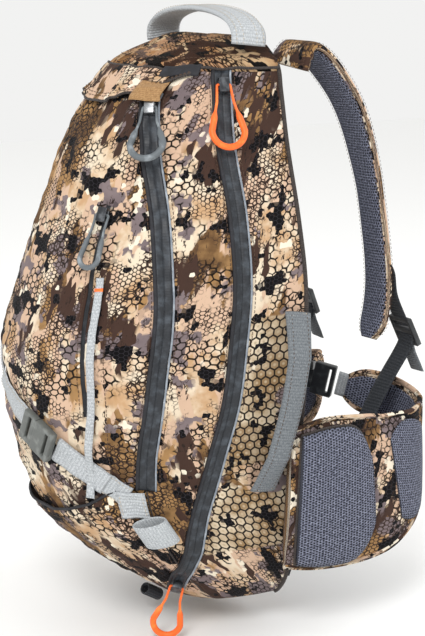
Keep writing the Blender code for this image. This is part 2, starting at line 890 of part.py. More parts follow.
def laid_out(point, sign):
    """A point of the harness, moved with the bag's width and height and to its own side."""
    return Vector((point[0] * sign * BODY_WIDTH / LAYOUT_WIDTH, point[1], point[2] * BODY_HEIGHT / LAYOUT_HEIGHT))


def wing_laid_out(row, sign):
    """A point of a wing: its root follows the bag's width and its tip keeps room for the buckle."""
    wider, taller = BODY_WIDTH / LAYOUT_WIDTH, BODY_HEIGHT / LAYOUT_HEIGHT
    tip = WING_SPINE[-1][0]
    room = tip * TIP_SHARE * (wider + taller - 2)
    return Vector(((tip + room + (row[0] - tip) * wider) * sign, row[1], row[2] * taller))


def below_tip(step, sign):
    """A point a fixed step from the tip of a shoulder pad, where its fittings hang."""
    return laid_out(STRAP_SPINE[-1], sign) + Vector((step[0] * sign, step[1], step[2]))


def shoulder_strap(sign):
    side = side_name(sign)
    path = smooth_path(STRAP_SPINE, 3)
    spine = [laid_out(point, sign) for point in path]
    count = len(spine) - 1
    wides = [
        between(STRAP_WIDE, STRAP_TIP_WIDE, min(1, max(0, k / count - 0.25) / 0.35))
        for k in range(count + 1)
    ]
    acrosses = [Vector((1, 0, 0))] * len(spine)
    band(f"shoulder_pad_{side}", spine, acrosses, wides, STRAP_THICK, MESH, edge=0.5)
    harness_hardware(sign, side)


def harness_hardware(sign, side):
    """Webbing and ladder lock that join a shoulder pad to the pack's lower corner."""
    across = Vector((1, 0, 0))
    upper = smooth_path([below_tip(step, sign) for step in ADJUSTER_STEPS], 3)
    band(f"adjuster_web_{side}", upper, [across] * len(upper), [WEB_WIDE] * len(upper), WEB_THICK, DARK_WEB)
    run = (upper[-1] - upper[-2]).normalized()
    out = across.cross(run).normalized()
    frame = frame_of(upper[-1] + run * 0.0156, across, run, out)
    half = WEB_WIDE / 2 + 0.004
    cell_plate(
        f"ladder_lock_{side}",
        frame,
        (-half, -half + 0.004, half - 0.004, half),
        (-0.015, -0.011, -0.004, 0.001, 0.007, 0.014),
        {(1, 1), (1, 3)},
        -0.0025,
        0.0025,
        PLASTIC,
        roughness=0.45,
    )
    top, bottom = below_tip(LOWER_WEB_START, sign), laid_out(ANCHOR, sign)
    bottom += Vector((0, ANCHOR_CLEAR_Y, ANCHOR_CLEAR_Z))
    points = [top]
    for down, side_step, bow in LOWER_WEB_BOW:
        point = top.lerp(bottom, down) + Vector((side_step * sign, bow, 0))
        points.append(point)
    lower = smooth_path(points + [bottom], 3)
    band(f"lower_web_{side}", lower, [across] * len(lower), [WEB_WIDE] * len(lower), WEB_THICK, DARK_WEB)
    tail = smooth_path([below_tip(step, sign) for step in TAIL_STEPS], 3)
    band(f"web_tail_{side}", tail, [across] * len(tail), [WEB_WIDE * 0.9] * len(tail), WEB_THICK, GREY_WEB)


def hip_wing(sign):
    side = side_name(sign)
    rows = smooth_path(WING_SPINE, 3)
    spine = [wing_laid_out(row, sign) for row in rows]
    talls = [max(WING_TALL * row[3], WING_TIP_TALL) for row in rows]
    leans = [Vector((sign * WING_LEAN * max(0, 1 - k / 9), 0, 1)) for k in range(len(spine))]
    band(f"hip_wing_{side}", spine, leans, talls, WING_THICK, CAMO, edge=0.5)
    wing_pocket(sign, side, spine, talls, leans)
    belt_end(sign, side, spine)


def wing_normal(spine, k, sign, lean):
    ahead = (spine[min(k + 1, len(spine) - 1)] - spine[max(k - 1, 0)]).normalized()
    return ahead.cross(lean).normalized() * sign


def wing_pocket(sign, side, spine, talls, leans):
    first, last = WING_POCKET_STATIONS
    lift = WING_THICK / 2 + HIDE * 3 + WING_POCKET_THICK / 2
    places = [spine[k] + wing_normal(spine, k, sign, leans[k]) * lift for k in range(first, last + 1)]
    wides = [tall * WING_POCKET_SHARE for tall in talls[first : last + 1]]
    up = leans[first : last + 1]
    band(f"wing_pocket_{side}", places, up, wides, WING_POCKET_THICK, MESH, edge=0.35)


def belt_end(sign, side, spine):
    """Belt webbing beyond the wing's tip and its half of the side-release buckle."""
    run = (spine[-1] - spine[-2]).normalized()
    up = Vector((0, 0, 1))
    upright = (up - run * up.dot(run)).normalized()
    start = spine[-1] + run * (HIDE + WING_TIP_TALL * abs(run.z))
    web = [start + run * (0.002 * k) for k in range(4)]
    band(f"belt_web_{side}", web, [upright] * 4, [WEB_WIDE] * 4, WEB_THICK, GREY_WEB)
    out = run.cross(up).normalized()
    across = run.cross(out).normalized()
    frame = frame_of(web[-1] + run * HIDE * 2, across, run, out)
    half = WEB_WIDE / 2 + 0.004
    if sign > 0:
        cuts = (0, 0.004, 0.007, 0.022)
        holes = {(1, 1)}
        x_cuts = (-half, -half + 0.004, half - 0.004, half)
        name = "belt_buckle_socket"
    else:
        cuts = (0, 0.004, 0.007, 0.012, 0.020)
        holes = {(1, 1), (2, 1), (3, 1), (2, 3)}
        x_cuts = (-half + 0.003, -half + 0.006, -0.005, 0.005, half - 0.006, half - 0.003)
        name = "belt_buckle_prong"
    cell_plate(name, frame, x_cuts, cuts, holes, -0.004, 0.004, DARK_PLASTIC, roughness=0.45)


def yoke():
    """The padded yoke over the top of the back, which the straps and handle are sewn to."""
    low, high = PAD_HIGH + 0.006, YOKE_HIGH
    back_sheet("harness_yoke", low, high, 0.012, FABRIC_BACK + 0.0004 + YOKE_THICK, FABRIC_BACK + 0.0004, 4, CAMO)


def anchor_tabs():
    """Triangles of webbing at the lower corners that the harness webbing is sewn to."""
    for sign in (1, -1):
        top = laid_out(ANCHOR, sign)
        places = [top - Vector((0, 0, ANCHOR_STEP * k)) for k in range(3)]
        name = f"strap_anchor_{side_name(sign)}"
        band(name, places, [Vector((1, 0, 0))] * 3, [0.030, 0.026, 0.020], 0.005, DARK_WEB)


def build():
    clear_scene()
    side_panels()
    gussets()
    front_panel()
    base_and_crown()
    back_parts()
    divider_panel()
    hood()
    lower_pocket()
    zip_tapes()
    sliders_and_pulls()
    compression_strap()
    tabs_and_loops()
    top_handle()
    side_handle()
    yoke()
    anchor_tabs()
    for sign in (1, -1):
        shoulder_strap(sign)
        hip_wing(sign)


build()
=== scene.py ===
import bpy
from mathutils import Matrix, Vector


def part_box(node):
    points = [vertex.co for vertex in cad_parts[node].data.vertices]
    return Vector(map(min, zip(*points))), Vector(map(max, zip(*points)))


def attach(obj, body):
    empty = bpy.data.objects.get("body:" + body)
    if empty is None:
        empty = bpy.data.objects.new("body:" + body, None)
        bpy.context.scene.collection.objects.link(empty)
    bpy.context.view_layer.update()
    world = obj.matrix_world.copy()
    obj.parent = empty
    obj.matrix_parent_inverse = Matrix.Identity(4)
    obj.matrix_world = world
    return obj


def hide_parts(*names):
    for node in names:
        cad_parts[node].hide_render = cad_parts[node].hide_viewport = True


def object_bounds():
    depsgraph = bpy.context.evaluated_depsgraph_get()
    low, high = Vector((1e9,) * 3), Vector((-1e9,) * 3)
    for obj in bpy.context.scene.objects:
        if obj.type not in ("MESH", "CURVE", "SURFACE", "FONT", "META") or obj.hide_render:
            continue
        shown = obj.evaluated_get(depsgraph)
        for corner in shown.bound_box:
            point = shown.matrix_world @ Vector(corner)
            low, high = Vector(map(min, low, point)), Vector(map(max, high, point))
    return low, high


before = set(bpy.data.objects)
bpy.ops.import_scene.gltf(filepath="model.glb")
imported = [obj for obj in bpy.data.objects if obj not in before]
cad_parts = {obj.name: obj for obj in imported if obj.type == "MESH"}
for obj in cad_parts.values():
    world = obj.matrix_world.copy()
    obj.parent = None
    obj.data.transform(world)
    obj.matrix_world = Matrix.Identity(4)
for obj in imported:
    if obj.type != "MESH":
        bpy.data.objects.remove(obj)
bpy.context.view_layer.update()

"""Looks of the hunting daypack: sewn shell, hood, zips, webbing, harness and hip wings."""

import math

import bmesh
import bpy
import numpy as np
from mathutils import Vector, noise

MM = 0.001

# ---- the bag's form, as the CAD panels have it ----

BACK_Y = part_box("back_panel")[1].y
BODY_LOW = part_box("base_panel")[0].z
BODY_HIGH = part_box("crown_panel")[1].z
BODY_HEIGHT = BODY_HIGH - BODY_LOW
HALF_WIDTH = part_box("side_panel_right")[1].x
DEPTH = BACK_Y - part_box("front_panel")[0].y
SQUARENESS = 2.4
# share of the height, share of the half width, share of the depth
OUTLINE = (
    (0.00, 0.36, 0.28),
    (0.035, 0.65, 0.43),
    (0.10, 0.81, 0.63),
    (0.20, 0.88, 0.86),
    (0.32, 0.93, 0.97),
    (0.42, 0.99, 1.00),
    (0.50, 1.00, 1.00),
    (0.61, 0.99, 0.92),
    (0.72, 0.89, 0.83),
    (0.84, 0.74, 0.73),
    (0.93, 0.65, 0.585),
    (0.97, 0.60, 0.49),
    (1.00, 0.44, 0.33),
)
# share of the height, degrees round the section from the right back edge
MAIN_TRACK = (
    (0.055, 56.0),
    (0.10, 43.0),
    (0.15, 32.0),
    (0.235, 24.4),
    (0.31, 20.0),
    (0.40, 16.8),
    (0.52, 15.0),
    (0.72, 16.0),
    (0.85, 19.2),
    (0.93, 23.0),
    (0.96, 25.5),
)
FRONT_TRACK = (
    (0.27, 40.5),
    (0.40, 37.0),
    (0.52, 35.0),
    (0.65, 38.0),
    (0.76, 42.0),
    (0.86, 48.5),
    (0.915, 55.0),
)
POCKET_TRACK = ((0.40, 58.5), (0.50, 59.5), (0.58, 62.0), (0.66, 63.0), (0.745, 62.0))
DART_TRACK = ((0.24, 50.0), (0.40, 50.0), (0.57, 52.0), (0.63, 54.0))


def through(table, x, column=1):
    """Smooth curve through the rows of a table, level past its ends."""
    if x <= table[0][0]:
        return table[0][column]
    if x >= table[-1][0]:
        return table[-1][column]
    k = max(i for i in range(len(table) - 1) if table[i][0] <= x)

    def slope(i):
        low, high = max(i - 1, 0), min(i + 1, len(table) - 1)
        return (table[high][column] - table[low][column]) / (table[high][0] - table[low][0])

    span = table[k + 1][0] - table[k][0]
    t = (x - table[k][0]) / span
    return (
        (2 * t**3 - 3 * t**2 + 1) * table[k][column]
        + (t**3 - 2 * t**2 + t) * span * slope(k)
        + (3 * t**2 - 2 * t**3) * table[k + 1][column]
        + (t**3 - t**2) * span * slope(k + 1)
    )


SAMPLES = np.linspace(0, 1, 1001)
WIDTHS = HALF_WIDTH * np.array([through(OUTLINE, s, 1) for s in SAMPLES])
DEPTHS = DEPTH * np.array([through(OUTLINE, s, 2) for s in SAMPLES])


def track(table):
    """A track as a function of arrays of shares."""
    values = np.array([through(table, s) for s in SAMPLES])
    return lambda share: np.interp(share, SAMPLES, values)


main_track, front_track = track(MAIN_TRACK), track(FRONT_TRACK)
pocket_track, dart_track = track(POCKET_TRACK), track(DART_TRACK)


def on_body(share, degrees):
    """Points of the bag's skin, from arrays of shares of the height and angles round the section."""
    share, degrees = np.broadcast_arrays(np.asarray(share, float), np.asarray(degrees, float))
    cosine, sine = np.cos(np.radians(degrees)), np.sin(np.radians(degrees))
    wide = np.interp(share, SAMPLES, WIDTHS)
    deep = np.interp(share, SAMPLES, DEPTHS)
    x = np.sign(cosine) * np.abs(cosine) ** (2 / SQUARENESS) * wide
    y = BACK_Y - np.abs(sine) ** (2 / SQUARENESS) * deep
    return np.stack([x, y, BODY_LOW + BODY_HEIGHT * share], -1)


def unit(vectors):
    return vectors / np.maximum(np.linalg.norm(vectors, axis=-1, keepdims=True), 1e-12)


def skin_axes(share, degrees):
    """Unit vectors up the skin, round it towards the front, and out of the bag."""
    rise = unit(on_body(share + 0.004, degrees) - on_body(share - 0.004, degrees))
    low = np.clip(degrees - 1.5, 0.1, 177.0)
    around = unit(on_body(share, low + 3.0) - on_body(share, low))
    out = unit(np.cross(around, rise))
    outward = np.stack([np.cos(np.radians(degrees)), -np.sin(np.radians(degrees)), 0 * degrees], -1)
    flip = np.sign((out * outward).sum(-1, keepdims=True))
    return rise, around, out * np.where(flip == 0, 1, flip)


def lifted(share, degrees, lift):
    share, degrees = np.broadcast_arrays(np.asarray(share, float), np.asarray(degrees, float))
    return on_body(share, degrees) + skin_axes(share, degrees)[2] * np.asarray(lift)[..., None]


def degrees_per_metre(share, degrees):
    span = np.linalg.norm(on_body(share, degrees + 0.5) - on_body(share, degrees - 0.5), axis=-1)
    return 1 / span


def along(share, degrees, distance):
    """The angle that lies a distance round the skin from another angle."""
    return degrees + distance * degrees_per_metre(np.asarray(share, float), np.asarray(degrees, float))


def bump(distance, width):
    """A smooth rise of 1 at distance 0 that fades over a width."""
    return np.exp(-((distance / width) ** 2))


def bumps(distance, apart, width):
    """Two such rises, one on each side of distance 0."""
    return bump(distance - apart, width) + bump(distance + apart, width)


def step_up(x, low, high):
    t = np.clip((x - low) / (high - low), 0, 1)
    return t * t * (3 - 2 * t)


def waves(points, scale, seed, octaves=3):
    """Soft noise at each point of an array, between about -1 and 1."""
    flat = points.reshape(-1, 3) * scale + seed
    values = [noise.fractal(Vector(point), 1.0, 2.0, octaves) for point in flat]
    return np.array(values).reshape(points.shape[:-1])


def run_length(path):
    """Distance from the start of a path to each of its points."""
    return np.concatenate([[0], np.cumsum(np.linalg.norm(np.diff(path, axis=0), axis=1))])


def smooth_path(points, steps):
    """Curve through a short list of points, split into equal steps between them."""
    rows = [tuple([float(k)] + list(point)) for k, point in enumerate(points)]
    total = steps * (len(points) - 1)
    columns = range(1, len(rows[0]))
    return np.array([[through(rows, k / steps, column) for column in columns] for k in range(total + 1)])


# ---- materials ----


def linear(hex_colour, alpha=1.0):
    """An sRGB hex colour as linear values."""
    channels = [int(hex_colour[i : i + 2], 16) / 255 for i in (0, 2, 4)]
    values = [c / 12.92 if c <= 0.04045 else ((c + 0.055) / 1.055) ** 2.4 for c in channels]
    return (*values, alpha)


def node(tree, kind, inputs, out=0, **settings):
    """Adds a node with its settings, and its inputs as values or as links; gives one output."""
    made = tree.nodes.new("ShaderNode" + kind)
    for name, value in settings.items():
        setattr(made, name, value)
    for name, value in inputs.items():
        if isinstance(value, bpy.types.NodeSocket):
            tree.links.new(value, made.inputs[name])
        else:
            made.inputs[name].default_value = value
    return made.outputs[out]


def material(name, shader_values):
    """A new material with constant values set on its shader's own sockets."""
    made = bpy.data.materials.new(name)
    made.use_nodes = True
    shader = made.node_tree.nodes["Principled BSDF"]
    for socket, value in shader_values.items():
        shader.inputs[socket].default_value = value
    return made, made.node_tree, shader


def wire(tree, shader, colour=None, roughness=None, height=None, depth=0.001, strength=1.0):
    if colour is not None:
        tree.links.new(colour, shader.inputs["Base Color"])
    if roughness is not None:
        tree.links.new(roughness, shader.inputs["Roughness"])
    if height is not None:
        normal = node(tree, "Bump", {"Height": height, "Distance": depth, "Strength": strength})
        tree.links.new(normal, shader.inputs["Normal"])


def mixed(tree, factor, first, second, blend="MIX"):
    """Two colours mixed by a factor, each a hex string or a link."""
    sides = [linear(side) if isinstance(side, str) else side for side in (first, second)]
    # sockets 6 and 7 are the two colours and output 2 is the mixed one
    inputs = {0: factor, 6: sides[0], 7: sides[1]}
    return node(tree, "Mix", inputs, out=2, data_type="RGBA", blend_type=blend)


def sharp(tree, value, low, high):
    """A value stretched so that low becomes 0 and high becomes 1."""
    inputs = {"Value": value, "From Min": low, "From Max": high, "To Min": 0.0, "To Max": 1.0}
    return node(tree, "MapRange", inputs, interpolation_type="SMOOTHSTEP", clamp=True)


def spread_of(value, low, high):
    """Inputs that map a noise's usual spread to a low and a high value."""
    return {"Value": value, "From Min": 0.3, "From Max": 0.7, "To Min": low, "To Max": high}


def cloth_place(tree, scale=1.0, turn=0.0, stretch=(1, 1, 1)):
    """Coordinates on a cloth in metres, from the flat layout that every sewn piece carries."""
    place = node(tree, "UVMap", {}, uv_map="cloth")
    size = tuple(scale * s for s in stretch)
    return node(tree, "Mapping", {"Vector": place, "Rotation": (0, 0, turn), "Scale": size})


def hexagons(tree, place):
    """Distance to the edge of a honeycomb cell of width 1, 0 on the edge and 0.5 in its middle."""
    slant = (0.5, math.sqrt(3) / 2, 0)
    tile = (1.0, math.sqrt(3), 1.0)
    reach = []
    # the middles of the cells lie on two grids of tiles, half a tile apart
    for shift in ((0, 0, 0), slant):
        cell = node(tree, "VectorMath", {0: place, 1: shift}, operation="SUBTRACT")
        for operation in ("MODULO", "ADD", "MODULO"):
            cell = node(tree, "VectorMath", {0: cell, 1: tile}, operation=operation)
        cell = node(tree, "VectorMath", {0: cell, 1: slant}, operation="SUBTRACT")
        flat = node(tree, "VectorMath", {0: cell, 1: (1, 1, 0)}, operation="MULTIPLY")
        size = node(tree, "VectorMath", {0: flat}, operation="ABSOLUTE")
        slanted = node(tree, "VectorMath", {0: size, 1: slant}, out=1, operation="DOT_PRODUCT")
        level = node(tree, "VectorMath", {0: size, 1: (1, 0, 0)}, out=1, operation="DOT_PRODUCT")
        reach.append(node(tree, "Math", {0: slanted, 1: level}, operation="MAXIMUM"))
    nearest = node(tree, "Math", {0: reach[0], 1: reach[1]}, operation="MINIMUM")
    return node(tree, "Math", {0: 0.5, 1: nearest}, operation="SUBTRACT")


SCALE_CELL = 4.2 * MM  # the small cells that the edges of printed patches step along


def patch(tree, place, size, seed, share, ragged=0.35, edge=0.02):
    """Printed patches: noise read at the middles of small cells, so that its edges step from cell to cell."""
    inputs = {"Vector": place, "Scale": 1 / SCALE_CELL, "Randomness": 0.75}
    cells = node(tree, "TexVoronoi", inputs, out="Position", voronoi_dimensions="2D")
    blurred = node(tree, "Mix", {0: ragged, 4: place, 5: cells}, out=1, data_type="VECTOR")
    shift = (seed, seed * 0.7, seed * 0.3)
    shifted = node(tree, "VectorMath", {0: blurred, 1: shift}, operation="ADD")
    inputs = {"Vector": shifted, "Scale": 1 / size, "Detail": 3.0, "Roughness": 0.62, "Distortion": 0.25}
    cloud = node(tree, "TexNoise", inputs, noise_dimensions="3D")
    return sharp(tree, cloud, share, share + edge)


def both(tree, first, second):
    """Where two masks overlap."""
    return node(tree, "Math", {0: first, 1: second}, operation="MULTIPLY", use_clamp=True)


def netting(tree, place, turn, wide, tall, mottle, thin, thick):
    """Lines of a drawn-out net: a mask of the lines, worn away in places, and the distance to them."""
    size = (1 / wide, 1 / tall, 1)
    net = node(tree, "Mapping", {"Vector": place, "Rotation": (0, 0, turn), "Scale": size})
    edge = hexagons(tree, net)
    line = node(tree, "Math", {0: edge, 1: mottle}, operation="MULTIPLY")
    return sharp(tree, line, thick, thin), edge


PLAIN_NET_CELL = 9.2 * MM
YARN = 1.1 * MM


def camouflage(name="printed_marsh_cloth", turn=0.0, seed=0.0, dim=None):
    """Woven polyester, dull and soft, printed with reeds, mud and scaly netting in dry straw colours."""
    dull = {"Roughness": 0.88, "Specular IOR Level": 0.10, "Sheen Weight": 0.02, "Sheen Roughness": 0.5}
    made, tree, shader = material(name, dull)
    flat = cloth_place(tree, 1.0, turn)
    place = node(tree, "VectorMath", {0: flat, 1: (seed, seed * 1.3, 0)}, operation="ADD")
    # reeds and mud are drawn out along the bag
    drawn_out = {"Vector": place, "Rotation": (0, 0, 0.6), "Scale": (1.0, 0.42, 1.0)}
    reeds = node(tree, "Mapping", drawn_out)
    # two nets with cells of 8 and 5 mm, pushed about by up to 9 mm
    push = node(tree, "TexNoise", {"Vector": place, "Scale": 45.0, "Detail": 1.0}, out="Color")
    push = node(tree, "VectorMath", {0: push, 1: (0.5, 0.5, 0.5)}, operation="SUBTRACT")
    push = node(tree, "VectorMath", {0: push, "Scale": 9 * MM}, operation="SCALE")
    wobbly = node(tree, "VectorMath", {0: place, 1: push}, operation="ADD")
    mottle = node(tree, "TexNoise", {"Vector": place, "Scale": 150.0, "Detail": 2.0})
    big_line, _ = netting(tree, wobbly, 0.35, 8.5 * MM, 7.0 * MM, mottle, 0.030, 0.066)
    small_line, small_edge = netting(tree, wobbly, -0.5, 5.0 * MM, 4.0 * MM, mottle, 0.034, 0.078)
    # soft wash from straw to peach, then the patches from light to dark
    wash = node(tree, "TexNoise", {"Vector": place, "Scale": 22.0, "Detail": 4.0, "Roughness": 0.6})
    colour = mixed(tree, sharp(tree, wash, 0.40, 0.62), "E0D0B8", "BF9A74")
    ochre = mixed(tree, sharp(tree, wash, 0.38, 0.6), "62482F", "A07C52")
    mauve = mixed(tree, wash, "5E5358", "8F807F")
    black = mixed(tree, sharp(tree, small_edge, 0.08, 0.02), "0C0B0C", "2F2C31")
    # ink, where it is drawn, patch size in mm, seed, threshold, raggedness, edge, mask within the patch
    for ink, where, size, start, share, ragged, edge, mask in (
        ("CDAE95", reeds, 44, 3.1, 0.50, 0.5, 0.02, None),
        (ochre, reeds, 46, 7.7, 0.535, 0.5, 0.02, None),
        (mauve, place, 36, 12.3, 0.560, 0.7, 0.02, None),
        ("1B1512", place, 52, 19.4, 0.485, 0.2, 0.05, big_line),
        ("3A2C26", place, 44, 25.9, 0.50, 0.2, 0.06, small_line),
        ("43312A", reeds, 32, 31.2, 0.582, 0.85, 0.02, None),
        ("EADFCB", place, 24, 44.1, 0.640, 0.9, 0.02, None),
        (black, place, 30, 38.6, 0.574, 1.0, 0.01, None),
    ):
        here = patch(tree, where, size * MM, start, share, ragged, edge)
        colour = mixed(tree, here if mask is None else both(tree, mask, here), colour, ink)
    black_here = here
    flecks = node(tree, "TexNoise", {"Vector": reeds, "Scale": 210.0, "Detail": 3.0, "Roughness": 0.7})
    fleck_here = patch(tree, place, 38 * MM, 50.5, 0.46, 0.3, 0.08)
    flecks = both(tree, sharp(tree, flecks, 0.585, 0.62), fleck_here)
    colour = mixed(tree, flecks, colour, "2E2420")
    # plain netting in places on the panels that the piece marks, with the black patches over it
    regular = node(tree, "Attribute", {}, out="Fac", attribute_name="netting")
    net_edge = hexagons(tree, cloth_place(tree, 1 / PLAIN_NET_CELL, 0.0))
    regular = both(tree, regular, patch(tree, place, 75 * MM, 61.0, 0.42, 0.2, 0.03))
    net = mixed(tree, sharp(tree, wash, 0.35, 0.6), "D8C8AE", "977B58")
    net = mixed(tree, sharp(tree, net_edge, 0.30, 0.42), net, "BBA88C")
    net = mixed(tree, sharp(tree, net_edge, 0.115, 0.075), net, "29221E")
    bare = node(tree, "Math", {0: 1.0, 1: black_here}, operation="SUBTRACT")
    colour = mixed(tree, both(tree, regular, bare), colour, net)
    # dim multiplies the whole print darker: painted shade
    if dim:
        colour = mixed(tree, 1.0, colour, dim, "MULTIPLY")
    # plain weave, drawn two to three times as coarse as the yarn so that it shows
    threads = cloth_place(tree, 1 / YARN, turn)
    warp, weft = (
        node(tree, "TexWave", {"Vector": threads, "Scale": 0.5}, wave_type="BANDS", bands_direction=axis)
        for axis in "XY"
    )
    weave = node(tree, "Math", {0: warp, 1: weft}, operation="MULTIPLY")
    wrinkle = node(tree, "TexNoise", {"Vector": place, "Scale": 38.0, "Detail": 4.0, "Roughness": 0.55})
    height = node(tree, "Math", {0: weave, 1: 0.12, 2: wrinkle}, operation="MULTIPLY_ADD")
    rough = node(tree, "MapRange", spread_of(wrinkle, 0.78, 0.92))
    wire(tree, shader, colour, rough, height, 2.2 * MM, 0.75)
    return made


RIB_WAVE = 0.5 / math.pi  # scale of a wave texture whose bands are about 2 units apart


def straps_cloth(name, base, light, dark, rib=1.6):
    """Flat woven nylon: heathered yarn and ribs across, rib being half their spacing in mm; runs along V."""
    woven = {"Roughness": 0.78, "Specular IOR Level": 0.20, "Sheen Weight": 0.06, "Sheen Roughness": 0.4}
    made, tree, shader = material(name, woven)
    place = cloth_place(tree, 1.0)
    wave = {"Vector": place, "Scale": RIB_WAVE / (rib * MM), "Distortion": 0.5}
    ribs = node(tree, "TexWave", wave, wave_type="BANDS", bands_direction="Y")
    yarn = node(tree, "Mapping", {"Vector": place, "Scale": (1 / (0.9 * MM), 1 / (2.6 * MM), 1.0)})
    fibre = node(tree, "TexNoise", {"Vector": yarn, "Scale": 1.0, "Detail": 3.0, "Roughness": 0.7})
    colour = mixed(tree, sharp(tree, fibre, 0.36, 0.66), dark, light)
    colour = mixed(tree, 0.45, colour, base)
    # the grooves between the ribs are darkened: painted shade
    groove = node(tree, "Math", {0: sharp(tree, ribs, 0.35, 0.0), 1: 0.35}, operation="MULTIPLY")
    colour = mixed(tree, groove, colour, dark)
    height = node(tree, "Math", {0: fibre, 1: 0.4, 2: ribs}, operation="MULTIPLY_ADD")
    wire(tree, shader, colour, None, height, 0.5 * MM, 0.8)
    return made


HOLE_SPACING = 2.6 * MM


def spacer_mesh(name="knitted_spacer_mesh", dark="101116", mid="3A3C4A", light="8A8EA0"):
    """Warp-knitted spacer mesh: staggered holes over a darker ground, matt and a little hairy."""
    knitted = {"Roughness": 0.9, "Specular IOR Level": 0.12, "Sheen Weight": 0.03, "Sheen Roughness": 0.5}
    made, tree, shader = material(name, knitted)
    place = cloth_place(tree, 1 / HOLE_SPACING, 0.0, (1, 0.8, 1))
    holes = hexagons(tree, place)
    fuzz = {"Vector": cloth_place(tree), "Scale": 420.0, "Detail": 4.0, "Roughness": 0.7}
    thread = mixed(tree, sharp(tree, node(tree, "TexNoise", fuzz), 0.3, 0.7), mid, light)
    colour = mixed(tree, sharp(tree, holes, 0.16, 0.30), thread, dark)
    height = sharp(tree, holes, 0.34, 0.10)
    wire(tree, shader, colour, None, height, 0.6 * MM, 0.9)
    return made


def coated_tape(name, base, sheen, rough=0.5):
    """Zip tape with a polyurethane film: smooth, satin, faintly ribbed across."""
    film = {"Specular IOR Level": 0.35, "Coat Weight": 0.06, "Coat Roughness": 0.35}
    made, tree, shader = material(name, film)
    place = cloth_place(tree, 1.0)
    mottle = node(tree, "TexNoise", {"Vector": place, "Scale": 90.0, "Detail": 4.0, "Roughness": 0.6})
    # lighter patches of the sheen colour where this noise is high: painted sheen
    colour = mixed(tree, sharp(tree, mottle, 0.42, 0.75), base, sheen)
    wave = {"Vector": place, "Scale": RIB_WAVE / (1.3 * MM)}
    ribs = node(tree, "TexWave", wave, wave_type="BANDS", bands_direction="Y")
    rough_map = node(tree, "MapRange", spread_of(mottle, rough - 0.08, rough + 0.12))
    height = node(tree, "Math", {0: mottle, 1: 0.5, 2: ribs}, operation="MULTIPLY_ADD")
    wire(tree, shader, colour, rough_map, height, 0.15 * MM, 0.5)
    return made


def moulded(name, base, edge, rough=0.42, values=None):
    """Injection-moulded plastic: fine spark texture, a little paler where it is rubbed."""
    settings = {"Specular IOR Level": 0.5, "IOR": 1.48}
    settings.update(values or {})
    made, tree, shader = material(name, settings)
    place = node(tree, "TexCoord", {}, out="Object")
    grain = node(tree, "TexNoise", {"Vector": place, "Scale": 1400.0, "Detail": 2.0})
    mottle = node(tree, "TexNoise", {"Vector": place, "Scale": 120.0, "Detail": 3.0})
    colour = mixed(tree, sharp(tree, mottle, 0.45, 0.75), base, edge)
    rough_map = node(tree, "MapRange", spread_of(grain, rough - 0.07, rough + 0.1))
    wire(tree, shader, colour, rough_map, grain, 0.08 * MM, 0.5)
    return made


CAMO = camouflage()
CAMO_HOOD = camouflage("printed_marsh_cloth_hood", 0.5, 3.7)
CAMO_WING = camouflage("printed_marsh_cloth_wing", 1.2, 9.1)
# the cloth of the crown dome and the yoke, printed darker: painted shade
CAMO_CROWN_PAINTED_SHADE = camouflage("printed_marsh_cloth_crown", 0.2, 5.3, "D2BFA8")
TAN = straps_cloth("tan_taffeta", "A67F55", "BE9A6E", "7C5D3C", 0.9)
MESH = spacer_mesh()
# a darker copy of the mesh for the back pad: painted shade
MESH_PAINTED_SHADE = spacer_mesh("knitted_spacer_mesh_shaded", "131318", "383A48", "6A6D80")
GREY_WEB = straps_cloth("nylon_webbing_light_grey", "B0B4B7", "D6D9DB", "84888C")
# heathered webbing: real on the side handle; on the free tails of the harness its darker grey is painted
# shade
HEATHER_WEB_AND_PAINTED_SHADE = straps_cloth("nylon_webbing_heather", "73787C", "8E9397", "4C5054", 1.4)
DARK_WEB = straps_cloth("nylon_webbing_charcoal", "34373B", "4A4D52", "222427")
BINDING = straps_cloth("grosgrain_binding_dark", "403A38", "564F4B", "2B2726", 1.0)
ZIP = coated_tape("coated_zip_tape", "212429", "434950")
ZIP_GROOVE = coated_tape("coated_zip_teeth", "1D1F23", "33363B", 0.6)
# light grey: the back fold of each zip, standing for the bright line along its edge: painted highlight
HEM_PAINTED_HIGHLIGHT = coated_tape("coated_zip_hem", "7B828B", "A3AAB2", 0.45)
# very dark: the divider's lining and the base pocket's bound mouth, and painted shade in the hood's gap and
# on each zip's front fold
LINING_AND_PAINTED_SHADE = coated_tape("lining_taffeta_dark", "1E1E22", "2F3036", 0.7)
BUCKLE = moulded("moulded_acetal_grey", "5A5D5A", "767976")
BUCKLE_DARK = moulded("moulded_acetal_black", "26282A", "45484A")
METAL = moulded("die_cast_zinc_slider", "8B8D8F", "C9CBCC", 0.3, {"Metallic": 0.9})
SLIDER_DARK = moulded("die_cast_zinc_painted", "34363A", "6B6E72", 0.35, {"Metallic": 0.6})
ORANGE = moulded("overmoulded_rubber_orange", "F2661A", "FF8433", 0.5, {"Sheen Weight": 0.1})
GRIP_GREY = moulded("overmoulded_rubber_grey", "5C6266", "8A9196", 0.55)
THREAD = straps_cloth("bonded_nylon_thread", "5A463A", "7A6250", "3A2C24", 0.8)
THREAD_PALE = straps_cloth("bonded_nylon_thread_pale", "C9BFAE", "DDD4C4", "A0968A", 0.8)

# ---- mesh builders ----


